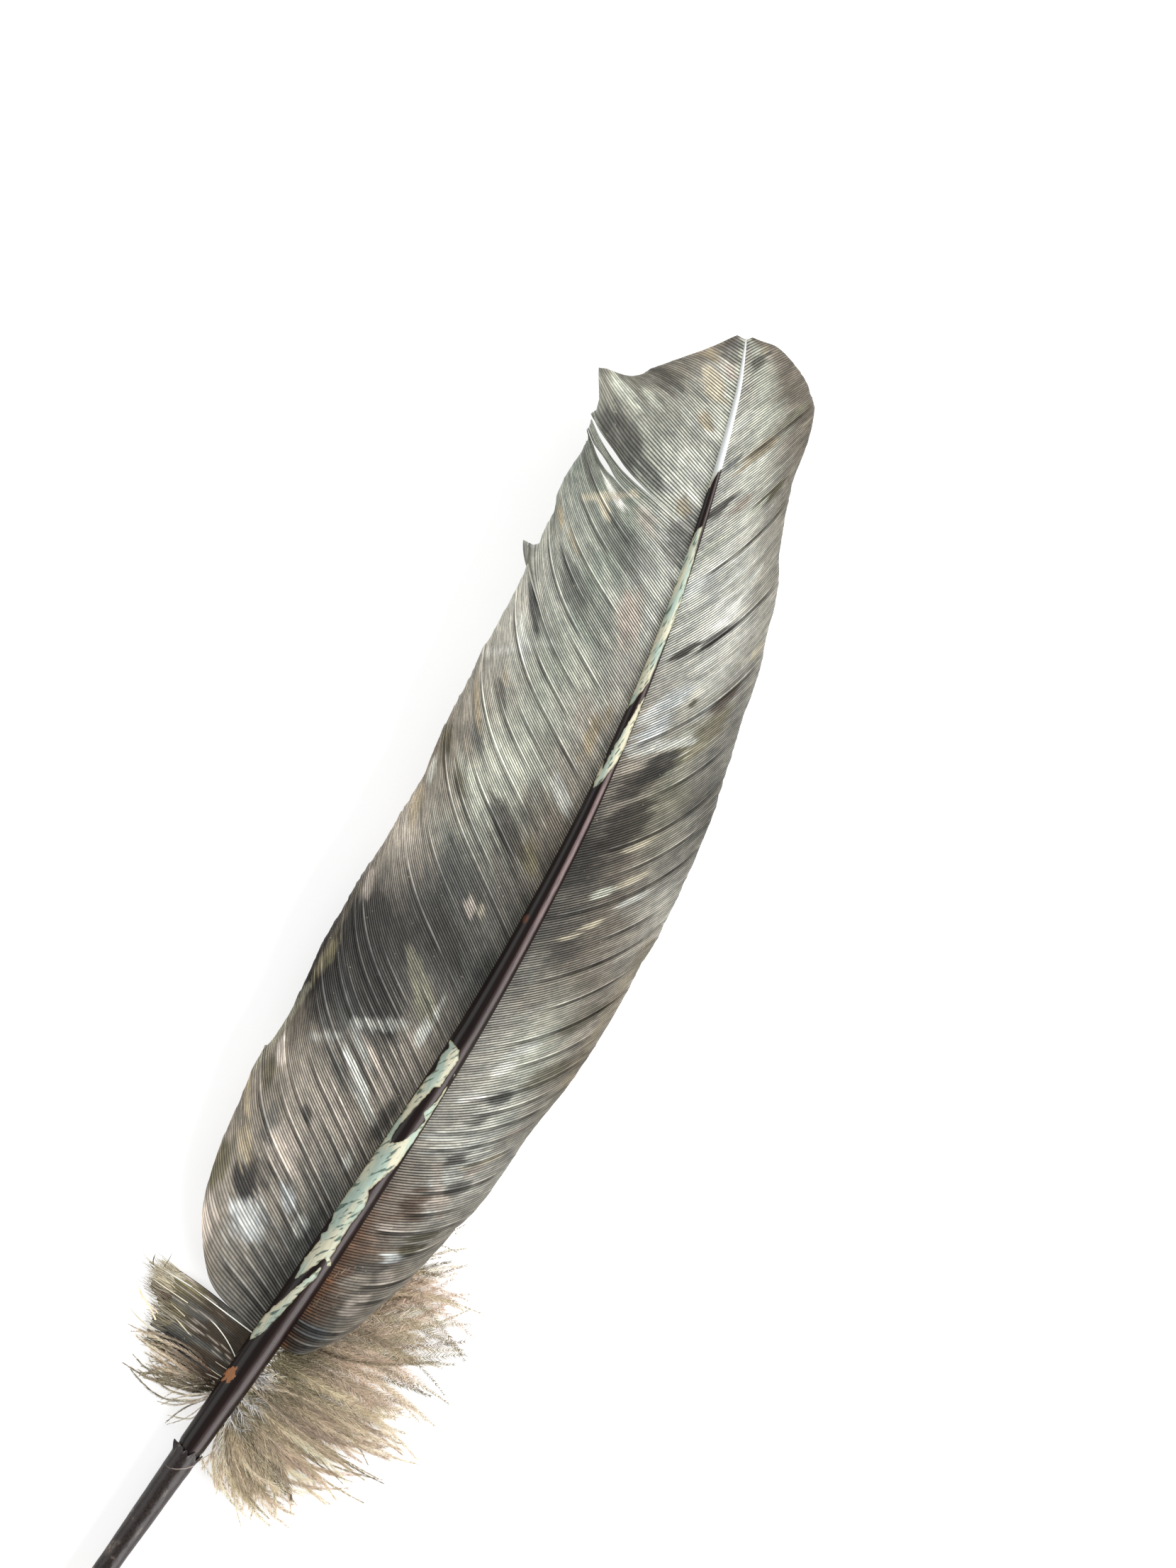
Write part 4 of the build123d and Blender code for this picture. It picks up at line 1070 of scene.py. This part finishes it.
# (tip x, tip y, root x, barbs, barbule length, splay in degrees, root colour, end colour)
TUFTS = {
    "right_down_rear": [
        (35.5, -9.5, 36.5, 9, 2.2, 34, FUZZ, FUZZ), (22.5, -8.5, 33.5, 9, 1.5, 20, FUZZ, SAND),
        (19.6, -16.5, 35, 7, 1.6, 18, KHAKI, SAND), (24.0, -15.0, 35.5, 12, 2.2, 20, KHAKI, SAND),
        (23.5, -19.5, 36, 10, 2.0, 18, SAND, STRAW), (27.0, -22.0, 36.8, 14, 2.2, 18, KHAKI, SAND),
        (29.0, -20.0, 37.5, 12, 2.2, 20, MOSS, KHAKI), (33.0, -26.5, 38.2, 14, 2.2, 17, KHAKI, SAND),
        (30.5, -17.0, 38, 12, 2.4, 22, MOSS, SAND),
        (35.0, -24.0, 39, 12, 2.4, 18, SAND, ROSE)],
    "right_down_middle": [
        (39.5, -9.5, 40, 11, 2.4, 36, FUZZ, FUZZ), (44.0, -9.0, 43.5, 9, 2.4, 36, FUZZ, SAND),
        (37.5, -27.5, 40, 12, 2.2, 18, KHAKI, SAND), (37.5, -31.0, 40.5, 6, 1.2, 14, SAND, KHAKI),
        (41.5, -32.8, 41.5, 6, 1.2, 14, SAND, KHAKI), (40.5, -24.0, 41.5, 14, 2.4, 20, MOSS, KHAKI),
        (43.0, -27.0, 42.5, 14, 2.2, 18, KHAKI, ROSE), (45.5, -31.0, 43.5, 12, 2.0, 18, SAND, ROSE),
        (47.5, -34.8, 45, 12, 1.8, 20, KHAKI, SAND), (47.0, -25.0, 44.5, 14, 2.3, 24, MOSS, SAND),
        (49.5, -30.0, 46, 12, 2.0, 24, KHAKI, SAND), (52.0, -28.0, 47.5, 12, 2.0, 28, MOSS, STRAW)],
    "right_down_front": [
        (55.5, -32.8, 49, 8, 1.6, 34, KHAKI, SAND), (54.5, -26.0, 50, 12, 2.2, 34, MOSS, ROSE),
        (60.7, -34.5, 51, 5, 1.3, 34, KHAKI, KHAKI), (59.5, -27.5, 51.5, 10, 2.0, 38, KHAKI, ROSE),
        (66.3, -31.2, 52, 4, 1.5, 36, ROSE, STRAW), (65.8, -28.4, 53, 4, 1.3, 30, UMBER, KHAKI),
        (63.5, -24.5, 52.8, 11, 2.1, 38, KHAKI, ROSE), (69.8, -31.8, 54, 5, 1.7, 38, KHAKI, KHAKI),
        (68.0, -25.0, 53.8, 10, 2.0, 38, FUZZ, STRAW), (71.5, -30.0, 54.6, 5, 1.7, 36, SAND, ROSE),
        (74.7, -28.6, 55, 4, 1.5, 34, MOSS, STRAW), (72.5, -24.5, 54.6, 9, 2.0, 36, KHAKI, ROSE),
        (77.0, -28.6, 55.4, 3, 1.2, 30, SAND, STRAW), (77.0, -25.5, 55.6, 6, 1.7, 34, MOSS, ROSE),
        (76.0, -21.5, 55.6, 9, 2.0, 36, UMBER, ROSE), (81.3, -22.6, 56, 7, 1.7, 34, KHAKI, ROSE),
        (80.5, -19.6, 56.2, 9, 1.8, 30, UMBER, KHAKI), (84.8, -19.8, 56.4, 3, 1.0, 26, MOSS, STRAW),
        (88.6, -17.8, 56.5, 2, 0.7, 22, OLIVE, STRAW), (84.5, -22.3, 56.2, 5, 1.4, 30, KHAKI, SAND),
        (79.0, -24.5, 55.8, 6, 1.7, 34, MOSS, ROSE), (73.0, -19.5, 55.4, 8, 1.8, 34, UMBER, KHAKI)],
    "left_tuft_down": [
        (30.0, 9.6, 37.4, 5, 0.9, 14, ROSE, CREAM), (27.8, 6.2, 36.8, 3, 0.8, 14, CREAM, CREAM),
        (32.0, 16.6, 37.8, 9, 1.3, 16, CREAM, KHAKI), (33.4, 16.2, 38.0, 7, 1.2, 18, UMBER, KHAKI),
        (36.8, 16.6, 38.2, 6, 1.2, 16, UMBER, SAND), (37.2, 19.8, 38.6, 7, 1.2, 16, BROWN, SAND),
        (38.3, 20.6, 39.2, 6, 1.1, 16, BROWN, SAND), (35.0, 12.6, 38.4, 8, 1.4, 18, UMBER, KHAKI)]}
BARBULE_PITCH = 0.34
DOWN_ROOT = {"right_down_rear": (-2.1, 1.6, 0.35), "right_down_middle": (-2.2, 1.5, 0.35),
             "right_down_front": (-2.3, 0.9, 0.3), "left_tuft_down": (2.2, 1.7, 0.35)}


def down_cloud(name):
    draw = np.random.default_rng(len(name) * 7 + 3)
    root_y, root_z, tip_z = DOWN_ROOT[name]
    roots, tips, reach, splay, first, last, bow = [], [], [], [], [], [], []
    for tx, ty, rx, barbs, length, spread, start, end in TUFTS[name]:
        clump = draw.uniform(0.72, 1.28)
        for i in range(barbs):
            short = draw.uniform(0.68, 1.0) if i else 1.0
            wide = min(1.0, barbs / 9) * (1.35 - short) * (1.6 if draw.uniform() < 0.55 else 5.0)
            root = np.array([rx + draw.normal(0, 0.7), root_y, root_z + draw.uniform(-0.5, 0.4)])
            end_place = np.array([tx, ty, tip_z]) + np.array([draw.normal(0, wide), draw.normal(0, wide),
                                                              draw.uniform(-0.1, 1.3)])
            tips.append(root + (end_place - root) * short)
            roots.append(root)
            reach.append(length * draw.uniform(0.8, 1.15))
            splay.append(spread * draw.uniform(0.8, 1.3))
            shade = clump * draw.uniform(0.65, 1.45)
            first.append(start * shade)
            last.append(end * shade)
            bow.append(draw.normal(0.0, 0.10) + (0.07 if tx > 52 else -0.03))
    roots, tips, first, last = map(np.array, (roots, tips, first, last))
    bow = np.array(bow) * (-1 if root_y > 0 else 1)
    steps = 25
    stems = curve(roots, tips, bow, steps, lift=draw.uniform(0.1, 0.9, len(roots)))
    wave = draw.uniform(0, 6.28, len(roots))[:, None] + np.linspace(0, 9, steps)
    stems[..., 0] += 0.16 * np.sin(wave) * np.linspace(0, 1, steps)
    share = np.linspace(0, 1, steps)
    stem_tint = first[:, None] + (last - first)[:, None] * ease(share, 0.1, 0.8)[None, :, None]
    stem_half = 0.075 * (1 - 0.75 * share)
    blocks = [(ribbons(stems, stem_half), {"tint": np.clip(stem_tint * 1.25, 0, 0.9)[:, :, None, :]})]

    length = np.linalg.norm(tips - roots, axis=1)
    count = (length / BARBULE_PITCH).astype(int)
    owner = np.repeat(np.arange(len(roots)), count)
    order = np.arange(len(owner)) - np.repeat(np.cumsum(count) - count, count)
    at = 0.05 + 0.95 * (order + draw.uniform(0, 1, len(owner))) / count[owner]
    for hand in (-1, 1):
        place = at * (steps - 1)
        i = np.clip(place.astype(int), 0, steps - 2)
        f = (place - i)[:, None]
        foot = stems[owner, i] * (1 - f) + stems[owner, i + 1] * f
        heading = stems[owner, i + 1] - stems[owner, i]
        heading = np.arctan2(heading[:, 1], heading[:, 0])
        lean = np.radians(np.array(splay)[owner] * draw.uniform(0.75, 1.25, len(owner)))
        size = np.array(reach)[owner] * draw.uniform(0.65, 1.15, len(owner))
        size = size * ease(at, -0.05, 0.2) * (1 - 0.55 * ease(at, 0.75, 1.0))
        u = np.linspace(0, 1, 5)[None, :]
        angle = heading[:, None] + hand * lean[:, None] * (1 - 0.55 * u) + draw.normal(0, 0.12,
                                                                                       (len(owner), 1)) * u
        step = size[:, None] / 4
        grown = np.zeros((len(owner), 5, 3))
        grown[:, 1:, 0] = np.cumsum(np.cos(angle[:, :-1]) * step, axis=1)
        grown[:, 1:, 1] = np.cumsum(np.sin(angle[:, :-1]) * step, axis=1)
        grown[..., 2] = u * draw.normal(0, 0.22, (len(owner), 1)) * size[:, None]
        lines = foot[:, None] + grown
        lines[..., 2] = np.maximum(lines[..., 2], 0.06)
        half = 0.060 * (1 - 0.7 * u)
        base = first[owner] + (last - first)[owner] * ease(at, 0.1, 0.8)[:, None]
        tint = base[:, None] * draw.uniform(0.7, 1.15, (len(owner), 1, 1)) * (0.85 + 0.3 * u)[..., None]
        blocks.append((ribbons(lines, half, draw.normal(0, 0.5, (len(owner), 1))),
                       {"tint": np.clip(tint, 0.005, 0.92)[:, :, None, :]}))
    piece = grid_mesh(f"{name}_barbs", blocks, DOWN)
    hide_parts(name)
    print(name, "has", len(roots), "barbs and", 2 * len(owner), "barbules,", len(piece.data.polygons),
          "faces")


for name in TUFTS:
    down_cloud(name)

# %% [markdown]
# ## The stiff tuft on the left
#
# Between the down and the vane stands a short web of stiff barbs, frayed at the top. It is
# made like the vane, from ridged strips, but each strip splits into strands at its end, and
# a few pale barbs stand clear of the rest.

# %%
# (root x, tip x, tip y) along the web
WEB = [(38.4, 37.6, 17.5), (39.6, 39.4, 18.6), (40.8, 41.3, 18.4), (42.2, 42.8, 19.4), (43.6, 44.6, 19.6),
       (45.0, 46.2, 22.6), (46.4, 47.3, 23.4), (47.8, 48.8, 23.6), (49.2, 50.2, 24.2), (50.4, 51.4, 23.0)]
# (root x, root y, tip x, tip y, half width, bow, colour): single barbs that stand clear
CLEAR = [(44.6, 2.4, 47.9, 15.2, 0.10, -0.09, WHITE), (47.9, 15.5, 47.8, 24.9, 0.09, 0.0, CREAM),
         (50.25, 2.6, 50.7, 17.0, 0.11, 0.0, WHITE), (50.7, 16.6, 50.2, 25.0, 0.13, 0.0, WHITE),
         (40.5, 2.4, 41.3, 12.0, 0.08, 0.04, CREAM), (43.2, 11.0, 44.5, 16.4, 0.12, 0.0, CREAM),
         (42.2, 2.4, 42.4, 8.0, 0.07, 0.04, PINK_GREY), (45.6, 14.5, 46.1, 18.0, 0.09, 0.0, CREAM),
         (40.3, 17.5, 41.1, 23.6, 0.13, 0.05, CREAM), (42.0, 18.5, 44.9, 25.4, 0.16, -0.05, SAND),
         (43.8, 22.6, 45.6, 24.9, 0.10, 0.0, SAND), (43.2, 18.8, 43.3, 21.6, 0.12, -0.1, SAND),
         (50.0, 24.6, 51.8, 25.4, 0.10, 0.1, OLIVE_DARK),
         (50.4, 22.9, 53.8, 23.1, 0.06, -0.05, OLIVE_DARK), (49.4, 24.0, 49.7, 25.2, 0.08, 0.0, SLATE),
         (38.9, 3.2, 39.5, 7.2, 0.10, 0.0, PINK_GREY),
         (39.8, 3.0, 38.7, 8.2, 0.09, 0.0, PINK_GREY), (48.8, 13.8, 49.2, 12.6, 0.07, 0.0, CREAM)]


def left_web():
    draw = np.random.default_rng(23)
    anchors = np.array(WEB)
    roots = np.linspace(38.3, 50.5, 34)
    tip_x = np.interp(roots, anchors[:, 0], anchors[:, 1])
    tip_y = np.interp(roots, anchors[:, 0], anchors[:, 2]) + draw.normal(0, 0.5, len(roots))
    root = np.stack([roots, np.full(len(roots), 2.2), np.full(len(roots), 1.75)], -1)
    tip = np.stack([tip_x, tip_y, np.full(len(roots), 0.9)], -1)
    steps = 28
    lines = curve(root, tip, np.full(len(roots), -0.03), steps, lift=0.25)
    share = np.linspace(0, 1, steps)
    half = 0.30 * (1 - 0.35 * ease(share, 0.75, 1.0))
    strips = ribbons(lines, half, columns=5)
    strips[..., 2] += (1 - np.abs(PROFILE) ** 1.6) * 0.12
    web_x, web_y = lines[..., 0], lines[..., 1]
    fibre = grain(roots[:, None] / 0.5, share * 3, 95)
    high = ease(web_y + fibre, 11, 18)[..., None]
    top = ease(web_y + fibre * 1.5, 20, 23)[..., None]
    tint = UMBER * 0.6 * (1 - high) + MOSS * high
    tint = tint * (1 - top) + CREAM * top
    grey = ease(grain(web_x / 1.2, web_y / 7, 96), 0.0, 0.6)[..., None] * (1 - top) * 0.7
    tint = tint * (1 - grey) + SLATE * grey
    pale = ease(grain(web_x / 0.45, web_y / 6, 97), 0.35, 0.7)[..., None] * 0.6
    tint = tint * (1 - pale) + PINK_GREY * pale
    dark = (ease(web_x, 39.4, 40.2) * (1 - ease(web_x, 41.6, 42.6)) * ease(web_y, 10.5, 12.5))[..., None]
    tint = tint * (1 - dark) + CHARCOAL * 0.6 * dark
    dark = (ease(web_x, 44.8, 45.6) * (1 - ease(web_x, 47.0, 47.8)) * ease(web_y, 18, 20))[..., None]
    tint = tint * (1 - dark) + BROWN * 0.7 * dark
    tint = tint * (1 + 0.25 * fibre[..., None])
    blocks = [(strips, {"tint": np.clip(tint, 0.005, 0.9)[:, :, None, :], "across": PROFILE, "rib": 0.75,
                        "root": roots[:, None, None], "travel": share[None, :, None] * 18})]

    # each barb's end frays into strands
    owner = np.repeat(np.arange(len(roots)), 7)
    start = lines[owner, 21] + draw.normal(0, 0.12, (len(owner), 3)) * [1, 1, 0.5]
    end = lines[owner, -1] + draw.normal(0, 0.55, (len(owner), 3)) * [1, 1, 0.8] + [0.1, 0.9, 0.3]
    end[:, 2] = np.clip(end[:, 2], 0.2, 2.2)
    strands = curve(start, end, draw.normal(0, 0.06, len(owner)), 8)
    strand_tint = tint[owner, -1][:, None] * draw.uniform(0.7, 1.25, (len(owner), 1, 1))
    strand_tint = strand_tint + (CREAM - strand_tint) * (np.linspace(0, 0.7, 8) * 1.0)[None, :, None]
    strand_half = 0.085 * (1 - 0.7 * np.linspace(0, 1, 8))
    blocks.append((ribbons(strands, strand_half, draw.normal(0, 0.4, (len(owner), 1)), 5),
                   {"tint": np.clip(strand_tint, 0.005, 0.9)[:, :, None, :], "across": PROFILE, "rib": 0.3,
                    "root": owner[:, None, None] * 1.7, "travel": 5}))
    singles = np.array([(rx, ry, 2.2 if ry < 4 else 1.6, tx, ty, 1.5, half, bow) for rx, ry, tx, ty, half,
                        bow, _ in CLEAR])
    clear = curve(singles[:, :3], singles[:, 3:6], singles[:, 7], 16)
    colours = np.array([c[-1] for c in CLEAR])
    clear_half = singles[:, 6:7] * (1 - 0.7 * ease(np.linspace(0, 1, 16), 0.6, 1.0))
    blocks.append((ribbons(clear, clear_half, columns=5),
                   {"tint": colours[:, None, None, :], "across": PROFILE * 0.5, "rib": 0.1,
                                             "root": singles[:, :1, None], "travel": 5}))
    piece = grid_mesh("left_tuft_web_barbs", blocks, BARBS)
    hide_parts("left_tuft_web")
    print("left web:", len(piece.data.polygons), "faces")


left_web()

# %% [markdown]
# ## Metal, glue and pith
#
# These CAD pieces keep their own shapes. The nib and its ferrule are steel: the nib blued
# and faintly ringed from its press, the ferrule drawn, with fine lines round it. The split
# ring is brass. Glue, pith and pulp caps are hidden inside and get their own finishes too.

# %%
def metal(name, dark, light, roughness, rings):
    t = Tree(name)
    lines = t.noise(t.place(rings), 1.0, 4, 0.7)
    cloud = t.noise(t.place(), 700, 3, 0.6)
    colour = t.mix(t.step(cloud, 0.3, 0.7), dark, light)
    colour = t.mix(t.sum("MULTIPLY", t.step(lines, 0.55, 0.75), 0.3), colour, light * 1.1)
    rough = t.sum("MULTIPLY_ADD", lines, 0.25)
    rough.node.inputs[2].default_value = roughness
    t.bump(lines, 0.00002, 0.5)
    return t.finish(colour, rough, Metallic=1.0)


def matter(name, dark, light, scale, roughness, bump, stretch=(1, 1, 1)):
    t = Tree(name)
    cells = t.noise(t.place(stretch), scale, 5, 0.65)
    colour = t.mix(t.step(cells, 0.3, 0.72), dark, light)
    t.bump(cells, bump, 0.7)
    rough = t.sum("MULTIPLY_ADD", cells, 0.2)
    rough.node.inputs[2].default_value = roughness
    return t.finish(colour, rough)


FINISHES = {
    "nib": metal("blued_nib", looks(78, 80, 92), looks(132, 132, 140), 0.22, (200, 6000, 6000)),
    "ferrule": metal("drawn_ferrule", looks(120, 116, 110), looks(176, 172, 164), 0.24, (9000, 300, 300)),
    "nib_clamp": metal("spring_ring", looks(150, 112, 58), looks(206, 168, 96), 0.28, (7000, 400, 400)),
    "barrel_glue": matter("amber_glue", looks(120, 76, 30), looks(176, 124, 60), 1800, 0.25, 0.00004),
    "shaft_pith": matter("dry_pith", looks(214, 206, 180), looks(238, 234, 216), 2600, 0.8, 0.0001),
    "pulp_caps": matter("dried_pulp", looks(180, 160, 124), looks(222, 208, 176), 1500, 0.6, 0.00008)}
for node, finish in FINISHES.items():
    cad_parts[node].material_slots[0].material = finish
    print(node, "is finished in", finish.name)

# %% [markdown]
# ## One loose hair
#
# A single hair has worked out of the crack in the barrel and lies away towards the down.

# %%
hair_line = curve([(24.2, -2.3, 2.6)], [(30.6, -5.5, 0.9)], [0.05], 20)
hair = grid_mesh("loose_hair", [(ribbons(hair_line, 0.06, columns=5),
                                 {"tint": KHAKI * 0.8, "across": PROFILE * 0.5, "rib": 0.1})],
                 BARBS)
print("hair from the crack:", round(float(np.linalg.norm(np.diff(hair_line[0], axis=0), axis=1).sum()), 1),
      "mm long")
